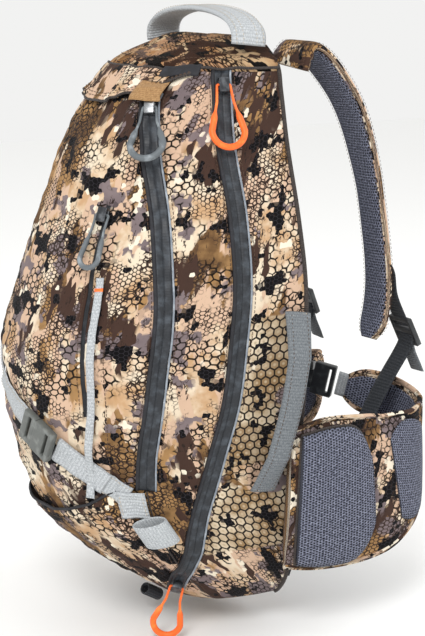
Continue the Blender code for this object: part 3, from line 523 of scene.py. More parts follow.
def shown(name, points, faces, finish, cloth=None, smooth=True, marks=None):
    """A mesh object from arrays, with its flat layout in metres as a map on its corners."""
    mesh = bpy.data.meshes.new(name)
    points = np.asarray(points, float).reshape(-1, 3)
    mesh.from_pydata([tuple(point) for point in points], [], [tuple(int(i) for i in face) for face in faces])
    mesh.materials.append(finish)
    mesh.polygons.foreach_set("use_smooth", [smooth] * len(mesh.polygons))
    layout = np.zeros((len(points), 2)) if cloth is None else np.asarray(cloth, float).reshape(-1, 2)
    corners = np.empty(len(mesh.loops), np.int32)
    mesh.loops.foreach_get("vertex_index", corners)
    chart = mesh.uv_layers.new(name="cloth")
    chart.data.foreach_set("uv", layout[corners].ravel())
    if marks is not None:
        layer = mesh.attributes.new("netting", "FLOAT", "POINT")
        layer.data.foreach_set("value", np.asarray(marks, float).ravel())
    mesh.update()
    obj = bpy.data.objects.new(name, mesh)
    bpy.context.collection.objects.link(obj)
    return obj


def grid_faces(rows, columns, closed=False, start=0):
    """Quads of a grid of points, columns fastest; closed joins the last column to the first."""
    faces = []
    span = columns if closed else columns - 1
    for i in range(rows - 1):
        for j in range(span):
            n = (j + 1) % columns
            a, b = start + i * columns + j, start + i * columns + n
            faces.append((a, b, b + columns, a + columns))
    return faces


def sheet_faces(rows, columns):
    """Faces of a closed sheet: a grid of points, the same grid behind it, and a rim between them."""
    total = rows * columns
    faces = grid_faces(rows, columns)
    faces += [face[::-1] for face in grid_faces(rows, columns, False, total)]
    rim = list(range(columns - 1)) + [i * columns + columns - 1 for i in range(rows - 1)]
    rim += [(rows - 1) * columns + j for j in range(columns - 1, 0, -1)]
    rim += [i * columns for i in range(rows - 1, 0, -1)]
    faces += [(a, b, total + b, total + a) for a, b in zip(rim, rim[1:] + rim[:1])]
    return faces


def outward(obj):
    """Turns a closed mesh's faces outwards."""
    shape = bmesh.new()
    shape.from_mesh(obj.data)
    bmesh.ops.recalc_face_normals(shape, faces=shape.faces)
    shape.to_mesh(obj.data)
    shape.free()
    return obj


def stands_for(obj, slot, *nodes):
    """Hides the CAD nodes that a piece takes the place of; its slot is not used."""
    if nodes:
        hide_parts(*nodes)
    return obj


def with_modifier(obj, kind, **settings):
    made = obj.modifiers.new(kind.lower(), kind)
    for name, value in settings.items():
        setattr(made, name, value)
    return obj


def band(name, spine, across, wide, thick, finish, edge=0.4, steps=10, puff=0.0, body="pack_body"):
    """A strap along a smooth spine: rounded edges, its own layout in metres; puff swells its middle."""
    spine, across = np.asarray(spine, float), unit(np.asarray(across, float))
    count = len(spine)
    wide = np.broadcast_to(np.asarray(wide, float), count)
    thick = np.broadcast_to(np.asarray(thick, float), count)
    run = unit(np.gradient(spine, axis=0))
    across = unit(across - run * (across * run).sum(-1, keepdims=True))
    out = np.cross(run, across)
    length = run_length(spine)
    turns = []
    for k in range(steps + 1):
        s = -1 + 2 * k / steps
        round_off = (1 - abs(s) ** (2 / max(edge, 0.05))) ** 0.5 if abs(s) < 1 else 0
        turns.append((s, round_off))
    profile = [(s, 1, r) for s, r in turns] + [(s, -1, r) for s, r in reversed(turns[1:-1])]
    points, layout = [], []
    for k in range(count):
        for s, side, r in profile:
            rise = side * thick[k] / 2 * r * (1 + puff * (1 - s * s))
            points.append(spine[k] + across[k] * s * wide[k] / 2 + out[k] * rise)
            layout.append((s * wide[k] / 2 * side, length[k]))
    ring = len(profile)
    faces = grid_faces(count, ring, True)
    faces.append(tuple(range(ring)))
    faces.append(tuple(range((count - 1) * ring, count * ring))[::-1])
    obj = outward(shown(name, points, faces, finish, layout))
    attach(obj, body)
    return obj


def tube(name, path, radius, finish, sides=10, closed=False, body="pack_body"):
    """A round cord or piping along points, with a radius that may vary."""
    path = np.asarray(path, float)
    count = len(path)
    radius = np.broadcast_to(np.asarray(radius, float), count)
    if closed:
        run = unit(np.roll(path, -1, 0) - np.roll(path, 1, 0))
    else:
        run = unit(np.gradient(path, axis=0))
    normal = np.cross(run[0], (0.31, 0.22, 0.92))
    points, layout = [], []
    length = 0.0
    for k in range(count):
        normal = normal - run[k] * (normal @ run[k])
        normal = normal / max(np.linalg.norm(normal), 1e-9)
        other = np.cross(run[k], normal)
        if k:
            length += np.linalg.norm(path[k] - path[k - 1])
        for j in range(sides):
            angle = 2 * math.pi * j / sides
            points.append(path[k] + radius[k] * (normal * math.cos(angle) + other * math.sin(angle)))
            layout.append((radius[k] * angle, length))
    faces = grid_faces(count, sides, True)
    if closed:
        last = (count - 1) * sides
        first_ring = np.array(points[:sides])
        shift = int(np.argmin(np.linalg.norm(first_ring - points[last], axis=1)))
        for j in range(sides):
            n = (j + 1) % sides
            faces.append((last + j, last + n, (n + shift) % sides, (j + shift) % sides))
    else:
        faces.append(tuple(range(sides))[::-1])
        faces.append(tuple(range((count - 1) * sides, count * sides)))
    obj = outward(shown(name, points, faces, finish, layout))
    if body:
        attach(obj, body)
    return obj


def resampled(path, gap):
    """Points at equal distances along a polyline."""
    path = np.asarray(path, float)
    length = run_length(path)
    count = max(int(length[-1] / gap), 2)
    places = np.linspace(0, length[-1], count)
    return np.stack([np.interp(places, length, path[:, k]) for k in range(3)], -1)


STITCHES = {}


def stitch(path, out, finish=None, body="pack_body", long=2.6 * MM, gap=1.3 * MM, wide=0.7 * MM):
    """A row of topstitching along a path: one small raised dash per stitch, kept per finish and body."""
    finish = finish or THREAD
    path = np.asarray(path, float)
    out = np.broadcast_to(np.asarray(out, float), path.shape)
    length = run_length(path)
    store = STITCHES.setdefault((finish.name, body), (finish, [], []))
    points, faces = store[1], store[2]
    for start in np.arange(gap, length[-1] - long, long + gap):
        places = [start, start + long / 2, start + long]
        row = np.stack([np.interp(places, length, path[:, k]) for k in range(3)], -1)
        normal = np.stack([np.interp(places, length, out[:, k]) for k in range(3)], -1)
        run = unit(row[2] - row[0])
        side = np.cross(normal[1], run) * wide / 2
        base = len(points)
        for k, lift in enumerate((-0.15, 0.55, -0.15)):
            centre = row[k] + normal[k] * lift * MM
            points += [centre - side, centre + side, centre + normal[k] * 0.25 * MM]
        for k in (0, 1):
            a, b = base + 3 * k, base + 3 * k + 3
            faces += [(a, a + 2, b + 2, b), (a + 2, a + 1, b + 1, b + 2), (a + 1, a, b, b + 1)]


def sewn():
    """Turns the gathered stitches into one object per thread and body."""
    for (finish_name, body), (finish, points, faces) in STITCHES.items():
        obj = shown(f"topstitch_{finish_name}_{body}", points, faces, finish, None, False)
        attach(obj, body)


def stitch_on(share, degrees, lift, thread=None):
    """Topstitching along a line of the skin."""
    stitch(raised(share, degrees, lift), skin_axes(share, degrees)[2], thread)


# ---- the sewn shell ----

RING = 300  # columns round the front, right back edge to left
LEVELS = 260


def strap_distance(share, degrees):
    """Distance in metres of skin points from the compression strap's middle line."""
    line = np.array([[through(STRAP_LINE, s, 1), through(STRAP_LINE, s, 2)] for s in np.linspace(0, 1, 60)])
    points = on_body(line[:, 0], line[:, 1])
    here = on_body(share, degrees)
    best = np.full(here.shape[:-1], 9.0)
    for point in points:
        best = np.minimum(best, np.linalg.norm(here - point, axis=-1))
    return best


STRAP_LINE = (
    (0.0, 0.258, 47.0),
    (0.18, 0.300, 59.0),
    (0.40, 0.352, 76.0),
    (0.55, 0.388, 90.0),
    (0.78, 0.448, 110.0),
    (1.0, 0.545, 141.0),
)


def skin_shift(share, degrees):
    """How far the filled, sagging cloth stands off the plain form, in metres."""
    share, degrees = np.broadcast_arrays(share, degrees)
    front = np.where(degrees <= 90, degrees, 180 - degrees)
    metre = 1 / degrees_per_metre(share, np.clip(front, 2, 178))
    shift = np.zeros(share.shape)
    # the two long zips sink a little between rolls of cloth
    for line, low, high in ((main_track, 0.03, 0.99), (front_track, 0.25, 0.93)):
        gap = (front - line(share)) * metre
        live = step_up(share, low, low + 0.03) * (1 - step_up(share, high - 0.02, high))
        shift += live * (-1.6 * MM * bump(gap, 6.5 * MM) + 2.0 * MM * bumps(gap, 15 * MM, 8 * MM))
    # a dart on each side of the front: a groove with a small roll of cloth on both sides of it
    gap = (front - dart_track(share)) * metre
    live = step_up(share, 0.24, 0.28) * (1 - step_up(share, 0.60, 0.66))
    shift += live * (-1.6 * MM * bump(gap, 2.0 * MM) + 0.8 * MM * bumps(gap, 6.4 * MM, 4.4 * MM))
    # the pocket's slit, on the right only
    gap = (front - pocket_track(share)) * metre
    live = step_up(share, 0.38, 0.42) * (1 - step_up(share, 0.74, 0.78)) * (degrees < 90)
    shift += live * (-2.0 * MM * bump(gap, 3.5 * MM) + 1.3 * MM * bump(gap - 9 * MM, 6 * MM))
    # the strap pulls the front in
    gap = strap_distance(share, degrees)
    shift += -2.2 * MM * bump(gap, 14 * MM) + 2.2 * MM * bump(gap - 27 * MM, 11 * MM)
    # folds that run off the seams, the hood and the base
    place = np.stack([degrees / 30, share * 9, 0 * share], -1)
    fold = waves(place * np.array([1.0, 0.55, 1.0]), 1.9, 4.0, 3)
    near = np.exp(-np.abs(front - front_track(share)) * metre / 0.030)
    near += 0.6 * np.exp(-np.abs(share - 0.16) / 0.08) + 0.8 * np.exp(-np.abs(share - 0.90) / 0.06)
    shift += 3.6 * MM * fold * np.clip(near, 0, 1.3) * step_up(front, 14, 26)
    # gathers that hang from the hood
    gather = waves(np.stack([degrees / 7, share * 3, 0 * share], -1), 1.0, 17.0, 2)
    below = np.exp(-np.clip(0.90 - share, 0, 1) / 0.05) * (share < 0.93)
    shift += 3.2 * MM * gather * below * step_up(front, 30, 44)
    crumple = waves(place * np.array([2.0, 1.7, 1.0]), 2.2, 11.0, 2)
    shift += 1.5 * MM * crumple * step_up(front, 20, 34)
    sag = waves(place * 0.5, 1.0, 21.0, 2)
    shift += 2.2 * MM * sag * step_up(front, 20, 40)
    # horizontal puckers over the curve of the base
    pucker = np.sin(share * 250 + 2.5 * waves(place, 1.2, 31.0, 2))
    shift += 0.7 * MM * pucker * np.exp(-(((share - 0.10) / 0.07) ** 2)) * step_up(front, 30, 50)
    ends = step_up(share, 0.0, 0.05) * (1 - step_up(share, 0.955, 1.0))
    return shift * (0.15 + 0.85 * ends)


def cloth_layout(share, degrees):
    """Flat layout of the skin in metres, along the height and round the section at mid height."""
    middle = np.linspace(0, 180, 721)
    points = on_body(np.full(721, 0.45), middle)
    length = run_length(points)
    round_way = np.interp(degrees, middle, length)
    half = length[-1] / 2
    wide = np.interp(share, SAMPLES, (WIDTHS + DEPTHS) / (WIDTHS + DEPTHS).max())
    return np.stack([half + (round_way - half) * (0.35 + 0.65 * wide), share * BODY_HEIGHT * 1.06], -1)


def spread(count):
    """Angles of the shell's columns, closer together at the back edges."""
    t = np.linspace(0, 1, count)
    return 180 * (t - 0.055 * np.sin(2 * np.pi * t)) * 0.998 + 0.18


def shell():
    """The whole sewn body: skin round the front and sides, flat cloth back, gathered ends."""
    foot, top = [0.0, 0.004, 0.010, 0.018], [0.980, 0.988, 0.995, 1.0]
    shares = np.concatenate([foot, np.linspace(0.026, 0.972, LEVELS), top])
    angles = spread(RING)
    share, degrees = np.meshgrid(shares, angles, indexing="ij")
    out = skin_axes(share, degrees)[2]
    # the back edges stay where they are sewn
    hold = step_up(np.minimum(degrees, 180 - degrees), 0.5, 4)
    points = on_body(share, degrees) + out * (skin_shift(share, degrees) * hold)[..., None]
    back_count = 24
    back = np.linspace(-1, 1, back_count + 2)[1:-1]
    left, right = points[:, -1, :], points[:, 0, :]
    rows = len(shares)
    flat = left[:, None, :] + (right - left)[:, None, :] * ((back + 1) / 2)[None, :, None]
    ring = np.concatenate([points, flat], 1)
    back_layout = np.stack([flat[..., 0] + 1.0, flat[..., 2]], -1)
    layout = np.concatenate([cloth_layout(share, degrees), back_layout], 1)
    front = np.where(degrees <= 90, degrees, 180 - degrees)
    netted = (front < main_track(share)) & (share > 0.14) & (share < 0.56)
    marks = np.concatenate([netted.astype(float), np.zeros(flat.shape[:2])], 1)
    columns = ring.shape[1]
    grid = ring.reshape(-1, 3)
    faces = grid_faces(rows, columns, True)
    points, layout, marks = list(grid), list(layout.reshape(-1, 2)), list(marks.ravel())
    for row, rise in ((0, -1.5 * MM), (rows - 1, 3 * MM)):
        base = row * columns
        centre = grid[base : base + columns].mean(0)
        previous = base
        for k, shrink in enumerate((0.8, 0.55, 0.3, 0.1)):
            start = len(points)
            for j in range(columns):
                point = centre + (grid[base + j] - centre) * shrink + np.array([0, 0, rise * (1 - shrink**2)])
                points.append(point)
                layout.append(np.asarray(layout[base + j]) + [0, 0.012 * (k + 1) * (1 if row else -1)])
                marks.append(0.0)
            for j in range(columns):
                n = (j + 1) % columns
                faces.append((previous + j, previous + n, start + n, start + j))
            previous = start
        faces.append(tuple(range(previous, previous + columns)))
    obj = outward(shown("sewn_body", points, faces, CAMO, layout, True, marks))
    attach(obj, "pack_body")
    sides = [f"{kind}_{side}" for kind in ("side_panel", "gusset") for side in ("right", "left")]
    stands_for(obj, "camo_fabric", *sides, "front_panel", "base_panel", "crown_panel", "back_panel")


def raised(share, degrees, lift):
    """Points over the finished skin, its folds and sag included."""
    share, degrees = np.broadcast_arrays(np.asarray(share, float), np.asarray(degrees, float))
    out = skin_axes(share, degrees)[2]
    return on_body(share, degrees) + out * (skin_shift(share, degrees) + np.asarray(lift))[..., None]


def skin_patch(name, share, degrees, lift, thick, finish, round_edge=True, layout=None, back=0.0):
    """A piece of cloth on the skin: grids of share and angle, its height over the skin, rounded hems."""
    lift = np.broadcast_to(np.asarray(lift, float), share.shape)
    top = raised(share, degrees, lift + thick)
    bottom = raised(share, degrees, lift - back)
    edge = np.ones(share.shape)
    if round_edge:
        edge[0, :] = edge[-1, :] = edge[:, 0] = edge[:, -1] = 0.45
    top = bottom + (top - bottom) * edge[..., None]
    points = np.concatenate([top.reshape(-1, 3), bottom.reshape(-1, 3)])
    faces = sheet_faces(*share.shape)
    chart = cloth_layout(share, degrees) if layout is None else layout
    chart = np.concatenate([chart.reshape(-1, 2)] * 2)
    obj = outward(shown(name, points, faces, finish, chart))
    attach(obj, "pack_body")
    return obj


def track_grid(table, low, high, offsets, count):
    """Grids of share and angle along a track: one column for each distance from its middle."""
    line = track(table)
    shares = np.linspace(low, high, count)
    share, gap = np.meshgrid(shares, np.asarray(offsets, float), indexing="ij")
    middle = line(share)
    return share, middle + gap * degrees_per_metre(share, middle)


def zip_on(name, table, low, high, wide, node_name, hems=(True, True), count=140):
    """A coated zip: two rounded lips that meet over the teeth, and folded hems where cloth meets tape."""
    half = wide / 2
    profile = np.array([-1, -0.97, -0.85, -0.6, -0.3, -0.12, -0.045, 0, 0.045, 0.12, 0.3, 0.6, 0.85, 0.97, 1])
    heights = np.array([0.1, 1.1, 1.75, 2.05, 2.15, 2.1, 1.8, 1.3, 1.8, 2.1, 2.15, 2.05, 1.75, 1.1, 0.1])
    share, degrees = track_grid(table, low, high, profile * half, count)
    lift = np.broadcast_to(heights * MM * min(1, wide / (13 * MM)), share.shape)
    along_way = np.linspace(0, (high - low) * BODY_HEIGHT * 1.1, count)
    layout = np.stack(np.broadcast_arrays(profile * half, along_way[:, None]), -1)
    obj = skin_patch(name, share, degrees, lift, 0.0004, ZIP, layout=layout, round_edge=False, back=0.003)
    stands_for(obj, "zip_tape", node_name)
    share, degrees = track_grid(table, low, high, [0], count)
    path = raised(share[:, 0], degrees[:, 0], 0.0014)
    tube(name + "_teeth", path, 0.55 * MM, ZIP_GROOVE, 6)
    for side, on in zip((-1, 1), hems):
        if not on:
            continue
        share, degrees = track_grid(table, low, high, [side * (half + 1.0 * MM)], count)
        path = raised(share[:, 0], degrees[:, 0], 0.0012)
        # the front fold is very dark, standing for the shadow gap beside the tape: painted shade; the back
        # fold is light grey, standing for the bright line along the tape's edge: painted highlight
        radius = 1.0 * MM if side < 0 else 1.9 * MM
        tube(f"{name}_fold_{'front' if side > 0 else 'back'}", path, radius, HEM_PAINTED_HIGHLIGHT if side < 0 else LINING_AND_PAINTED_SHADE, 8)
        share, degrees = track_grid(table, low, high, [side * (half + 4.6 * MM)], count)
        stitch_on(share[:, 0], degrees[:, 0], 0.2 * MM)
    return obj


def zips():
    zip_on("main_zip", MAIN_TRACK, 0.055, 0.962, 14 * MM, "main_zip_tape")
    zip_on("front_zip", FRONT_TRACK, 0.272, 0.925, 14 * MM, "front_zip_tape")
    # the pocket's slit: a dark coil zip under a flap of cloth
    profile = np.array([-1, -0.6, 0, 0.6, 1])
    share, degrees = track_grid(POCKET_TRACK, 0.40, 0.748, profile * 2.4 * MM, 90)
    layout = np.stack(np.broadcast_arrays(profile * 4 * MM, np.linspace(0, 0.19, 90)[:, None]), -1)
    obj = skin_patch("pocket_zip", share, degrees, 0.0002, 0.0006, ZIP_GROOVE, layout=layout)
    stands_for(obj, "zip_tape", "pocket_zip_tape")
    share, degrees = track_grid(POCKET_TRACK, 0.395, 0.755, np.array([1.2, 2.4, 6, 10, 11]) * MM, 90)
    lift = np.array([1.6, 1.4, 0.8, 0.1, -0.6]) * MM
    stands_for(skin_patch("pocket_zip_flap", share, degrees, lift, 1.2 * MM, CAMO), "camo_fabric")
    share, degrees = track_grid(POCKET_TRACK, 0.397, 0.753, [3.4 * MM], 90)
    stitch_on(share[:, 0], degrees[:, 0], 2.7 * MM)


def seams():
    """Plain seams: dark edge piping along the back, hem lines on the front, thread beside each."""
    for sign, side in ((1, "right"), (-1, "left")):
        shares = np.linspace(0.03, 0.972, 160)
        angle = np.full(160, 0.6) if sign > 0 else np.full(160, 179.4)
        path = raised(shares, angle, 0.0006)
        path[:, 1] += 0.0006
        tube(f"back_edge_binding_{side}", path, 2.0 * MM, BINDING, 10)
        # the front seam carries on below the zip
        low_shares = np.linspace(0.055, 0.27, 50)
        line = np.full(50, FRONT_TRACK[0][1]) if sign > 0 else np.full(50, 180 - FRONT_TRACK[0][1])
        tube(f"front_seam_{side}", raised(low_shares, line, 0.0), 0.8 * MM, BINDING, 6)
        for shift in (-3.5, 3.5):
            beside = line + sign * shift * MM * degrees_per_metre(low_shares, line)
            stitch_on(low_shares, beside, 0.3 * MM)
        shares = np.linspace(0.24, 0.62, 90)
        line = dart_track(shares) if sign > 0 else 180 - dart_track(shares)
        stitch_on(shares, line + sign * 2.6 * MM * degrees_per_metre(shares, line), 0.4 * MM)
    # left side: the same panel lines as the right, sewn shut
    shares = np.linspace(0.06, 0.955, 170)
    line = 180 - main_track(shares)
    tube("left_side_seam", raised(shares, line, 0.0), 1.0 * MM, BINDING, 8)
    shares = np.linspace(0.27, 0.915, 120)
    tube("left_front_seam", raised(shares, 180 - front_track(shares), 0.0), 1.0 * MM, BINDING, 8)


# ---- hood, pockets and sewn-on webbing ----


def patch_grid(low, high, start, end, rows, columns):
    """Share and angle grids between two shares and two angles; either share may be a function of angle."""
    angles = np.linspace(start, end, columns)
    bottom = low(angles) if callable(low) else np.full(columns, low)
    top = high(angles) if callable(high) else np.full(columns, high)
    u = np.linspace(0, 1, rows)[:, None]
    return bottom + (top - bottom) * u, np.broadcast_to(angles, (rows, columns))


def hem(name, share, degrees, lift, radius, finish, body="pack_body"):
    return tube(name, raised(share, degrees, lift), radius, finish, 8, body=body)


def hood():
    """The hood over the zip ends: a flap that stands off the front, and a dark sheet of painted shade in the
    gap above its right end.
    """

    def flap_low(angle):
        return 0.906 + 0.00125 * np.clip(80 - angle, 0, 42) + 0.0004 * np.clip(angle - 96, 0, 60)

    flap_high = 0.9655
    share, degrees = patch_grid(flap_low, flap_high, 40, 152, 26, 110)
    rise = np.linspace(0, 1, 26)[:, None]
    ends = np.sin(np.linspace(0.25, math.pi - 0.25, 110)) ** 0.5
    drape = 1 + 0.35 * waves(np.stack([degrees / 9, share * 12, 0 * share], -1), 1.0, 5.0, 2)
    lift = ((4.6 - 3.6 * rise**0.7) * ends * drape + 0.5) * MM
    flap = skin_patch("hood_flap_cloth", share, degrees, lift, 0.0016, CAMO_HOOD)
    stands_for(flap, "camo_fabric", "hood_flap")
    hem("hood_flap_edge", share[0], degrees[0], lift[0] + 0.6 * MM, 1.25 * MM, BINDING)
    for row in (3, 5):
        stitch_on(share[row], degrees[row], lift[row] + 1.7 * MM)
    # a very dark sheet in the gap between hood and crown, where there is only shade: painted shade
    share, degrees = patch_grid(0.952, 0.968, 36, 58, 8, 30)
    gap = skin_patch("hood_lining_gap", share, degrees, 0.0030, 0.0012, LINING_AND_PAINTED_SHADE)


def slider_garage():
    """A tan loop of cloth that stands over the front zip's upper end."""
    count = 22
    u = np.linspace(0, 1, count)
    share, degrees = track_grid(FRONT_TRACK, 0.906, 0.944, np.linspace(-10, 17, 13) * MM, count)
    fall = np.clip((u - 0.45) / 0.55, 0, 1)
    lift = (11.2 - 8.0 * fall * fall * (3 - 2 * fall))[:, None] * MM
    arch = np.cos(np.linspace(-1.25, 1.25, 13))[None, :] ** 0.5
    garage = skin_patch("zip_garage_cloth", share, degrees, lift * (0.45 + 0.55 * arch), 0.0013, TAN)
    stands_for(garage, "camo_fabric", "zip_garage")


def crown_dome():
    """The shaded cloth over the crown, drawn up under the handle, with piping round its edge."""
    angles = np.linspace(0.5, 179.5, 150)
    shares = np.array([0.960, 0.964, 0.970, 0.978, 0.986, 0.993, 0.998])
    share, degrees = np.meshgrid(shares, angles, indexing="ij")
    lift = np.array([0.2, 1.8, 2.6, 3.0, 3.2, 3.2, 3.0])[:, None] * MM
    skirt = raised(share, degrees, lift)
    skirt[:, :, 1] = np.minimum(skirt[:, :, 1], BACK_Y + 0.0002)
    rings = list(skirt)
    top = rings[-1]
    centre = top.mean(0)
    soft = waves(top * 40, 1.0, 3.0, 2)
    for shrink in (0.9, 0.78, 0.64, 0.5, 0.36, 0.22, 0.1):
        rise = 10 * MM * (1 - shrink**2) + 1.2 * MM * soft * shrink
        ring = centre + (top - centre) * shrink
        ring[:, 2] += rise
        rings.append(ring)
    rows, columns = len(rings), len(angles)
    points = np.concatenate(rings)
    faces = grid_faces(rows, columns, True)
    faces += [tuple(range(columns))[::-1], tuple(range((rows - 1) * columns, rows * columns))]
    layout = points[:, :2] * 1.1 + points[:, 2:] * np.array([[0.3, 0.9]])
    dome = outward(shown("crown_dome_cloth", points, faces, CAMO_CROWN_PAINTED_SHADE, layout))
    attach(dome, "pack_body")
    hem("crown_piping", share[1], degrees[1], 0.0024, 1.4 * MM, BINDING)
    out = skin_axes(share[3], degrees[3])[2]
    stitch(skirt[3] + out * 0.0002, out, THREAD)


def base_pocket():
    """Open pocket at the foot of the front with a bound, slightly slack mouth."""

    def mouth(angle):
        return 0.212 + 0.034 * ((angle - 90) / 34) ** 2 + 0.012 * np.clip((90 - angle) / 34, -1, 1)

    share, degrees = patch_grid(0.070, mouth, 50, 124, 26, 70)
    u, v = np.linspace(0, 1, 26)[:, None], np.linspace(0, 1, 70)[None, :]
    lift = (0.4 + 4.2 * np.sin(math.pi * v) ** 0.7 * u**0.8) * MM
    pocket = skin_patch("base_pocket_cloth", share, degrees, lift, 0.0016, CAMO)
    stands_for(pocket, "camo_fabric", "lower_pocket")
    hem("base_pocket_mouth", share[-1], degrees[-1], lift[-1] + 1.0 * MM, 1.4 * MM, LINING_AND_PAINTED_SHADE)
    stitch_on(share[-4], degrees[-4], lift[-4] + 1.7 * MM)


def strap_grid(line, start, end, wide, rows, columns, slip=0.0):
    """Share and angle grids of webbing that runs along a line of the skin."""
    s = np.linspace(start, end, rows)
    share = np.array([through(line, x, 1) for x in s])
    angle = np.array([through(line, x, 2) for x in s])
    ahead = np.array([[through(line, x + 0.01, 1), through(line, x + 0.01, 2)] for x in s])
    behind = np.array([[through(line, x - 0.01, 1), through(line, x - 0.01, 2)] for x in s])
    run = unit(on_body(ahead[:, 0], ahead[:, 1]) - on_body(behind[:, 0], behind[:, 1]))
    rise, around, out = skin_axes(share, angle)
    across = unit(np.cross(out, run))
    side = (np.linspace(-0.5, 0.5, columns) * wide + slip)[None, :, None] * across[:, None, :]
    shares = share[:, None] + (side * rise[:, None, :]).sum(-1) / BODY_HEIGHT
    angles = angle[:, None] + (side * around[:, None, :]).sum(-1) * degrees_per_metre(share, angle)[:, None]
    length = run_length(on_body(share, angle))
    layout = np.stack(np.broadcast_arrays(np.linspace(-0.5, 0.5, columns) * wide, length[:, None]), -1)
    return shares, angles, layout


def webbing_on(name, line, ends, wide, lift, thick, finish, rows, columns, *nodes, slot="grey_webbing"):
    """Webbing or tape sewn down along a line of the skin: ends are shares of the line, sizes are in mm."""
    share, angle, layout = strap_grid(line, *ends, wide * MM, rows, columns)
    obj = skin_patch(name, share, angle, lift * MM, thick * MM, finish, layout=layout)
    stands_for(obj, slot, *nodes)


def edge_stitches(line, ends, lift, rows):
    """A row of pale stitches along each edge of 25 mm webbing."""
    share, angle, _ = strap_grid(line, *ends, 21 * MM, rows, 2)
    for k in (0, 1):
        stitch_on(share[:, k], angle[:, k], lift * MM, THREAD_PALE)


TAPE_LINE = (
    (0.0, 0.635, 58.5),
    (0.25, 0.585, 57.5),
    (0.5, 0.460, 55.5),
    (0.75, 0.350, 57.0),
    (1.0, 0.250, 60.5),
)


TAB_LINE = ((0.0, 0.222, 46.0), (1.0, 0.268, 46.0))


def sewn_webbing():
    strap_ends = {"long": ((0.0, 0.345), "right"), "short": ((0.505, 0.985), "left")}
    for part, (ends, side) in strap_ends.items():
        name = f"compression_strap_{part}_side"
        webbing_on(name, STRAP_LINE, ends, 25, 1.6, 1.8, GREY_WEB, 70, 9, f"compression_web_{side}")
        edge_stitches(STRAP_LINE, ends, 3.4, 70)
    # the doubled end that comes back out of the buckle
    webbing_on("strap_free_end", STRAP_LINE, (0.10, 0.345), 25, 3.6, 1.5, GREY_WEB, 30, 9)
    webbing_on("daisy_tape_web", TAPE_LINE, (0.02, 0.98), 7, 4.6, 1.4, GREY_WEB, 120, 5, "daisy_tape")
    marker = (0.125, 0.155)
    webbing_on("daisy_tape_marker", TAPE_LINE, marker, 7.8, 5.4, 1.2, ORANGE, 6, 5, slot="orange_pull")
    webbing_on("zip_end_tab_web", TAB_LINE, (0.0, 1.0), 26, 3.6, 1.6, GREY_WEB, 16, 9, "zip_end_tab")
    edge_stitches(TAB_LINE, (0.1, 0.9), 5.2, 12)


# outline of webbing cut across: shares of its half width and of its half thickness
WEB_SECTION = [(-1, 0.3), (-0.97, 0.8), (-0.9, 1), (0.9, 1), (0.97, 0.8), (1, 0.3)]
WEB_SECTION += [(x, -y) for x, y in reversed(WEB_SECTION)]


def ring_loop(name, share, angle, lift, reach, rise, wide, thick, finish, node_name, slot, tilt=0.0):
    """A folded webbing loop that stands on the skin; sizes are in mm."""
    share, angle = np.array([share]), np.array([angle])
    reach, rise, wide, thick = reach * MM, rise * MM, wide * MM, thick * MM
    up, around, out = (axis[0] for axis in skin_axes(share, angle))
    origin = lifted(share, angle, np.array([lift * MM]))[0]
    across = up * math.cos(tilt) + around * math.sin(tilt)
    run = around * math.cos(tilt) - up * math.sin(tilt)
    count = 48
    points, layout = [], []
    for k in range(count):
        turn = 2 * math.pi * k / count
        ahead, outwards = math.cos(turn), math.sin(turn)
        middle = np.array([(reach - thick / 2) * ahead, rise + (rise - thick / 2) * outwards])
        normal = unit(np.array([ahead * rise, outwards * reach]))
        for side, level in WEB_SECTION:
            local = middle + normal * level * thick / 2
            points.append(origin + across * side * wide / 2 + run * local[0] + out * local[1])
            layout.append((side * wide / 2, turn * reach))
    ring = len(WEB_SECTION)
    faces = grid_faces(count, ring, True)
    last = (count - 1) * ring
    faces += [(last + j, last + (j + 1) % ring, (j + 1) % ring, j) for j in range(ring)]
    obj = outward(shown(name, points, faces, finish, layout))
    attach(obj, "pack_body")
    stands_for(obj, slot, node_name)


def loops():
    keeper, base = ("keeper_loop", "grey_webbing"), ("base_loop", "dark_webbing")
    ring_loop("strap_keeper_web", 0.204, 40.5, 5.2, 17, 8.5, 25, 2.0, GREY_WEB, *keeper, tilt=0.22)
    ring_loop("base_loop_web", 0.030, 84.0, 2.2, 7, 6, 20, 1.9, DARK_WEB, *base)


# ---- handles ----


HANDLE_REACH, HANDLE_RISE = 0.0801, 0.031  # half the top handle's span, and its height
SIDE_HANDLE_LINE = ((0.0, 0.565, 2.6), (0.5, 0.410, 5.2), (1.0, 0.255, 8.6))
HANDLE_POINTS = 70


def top_handle():
    """Wide padded webbing that arches over the crown, with four rows of stitches."""
    turn = np.linspace(0, math.pi, HANDLE_POINTS)
    lean = BACK_Y - 0.030 + 0.006 * np.sin(turn) * np.cos(turn)
    height = BODY_HIGH + 0.002 + HANDLE_RISE * np.sin(turn) ** 0.8
    spine = np.stack([HANDLE_REACH * np.cos(turn), lean, height], -1)
    across = np.tile((0.0, 1.0, 0.0), (HANDLE_POINTS, 1))
    waist = 1 - 0.10 * np.sin(turn) ** 2
    size = (36 * MM * waist, 5.4 * MM)
    handle = band("top_grab_handle", spine, across, *size, GREY_WEB, 0.35, 14, 0.12, "top_handle")
    stands_for(handle, "grey_webbing", "top_handle")
    run = unit(np.gradient(spine, axis=0))
    out = np.cross(run, across)
    out *= np.sign(out[HANDLE_POINTS // 2, 2])
    for shift in (-14, -7, 7, 14):
        path = spine + across * shift * MM * waist[:, None] + out * 2.95 * MM
        stitch(path, out, THREAD_PALE, "top_handle")


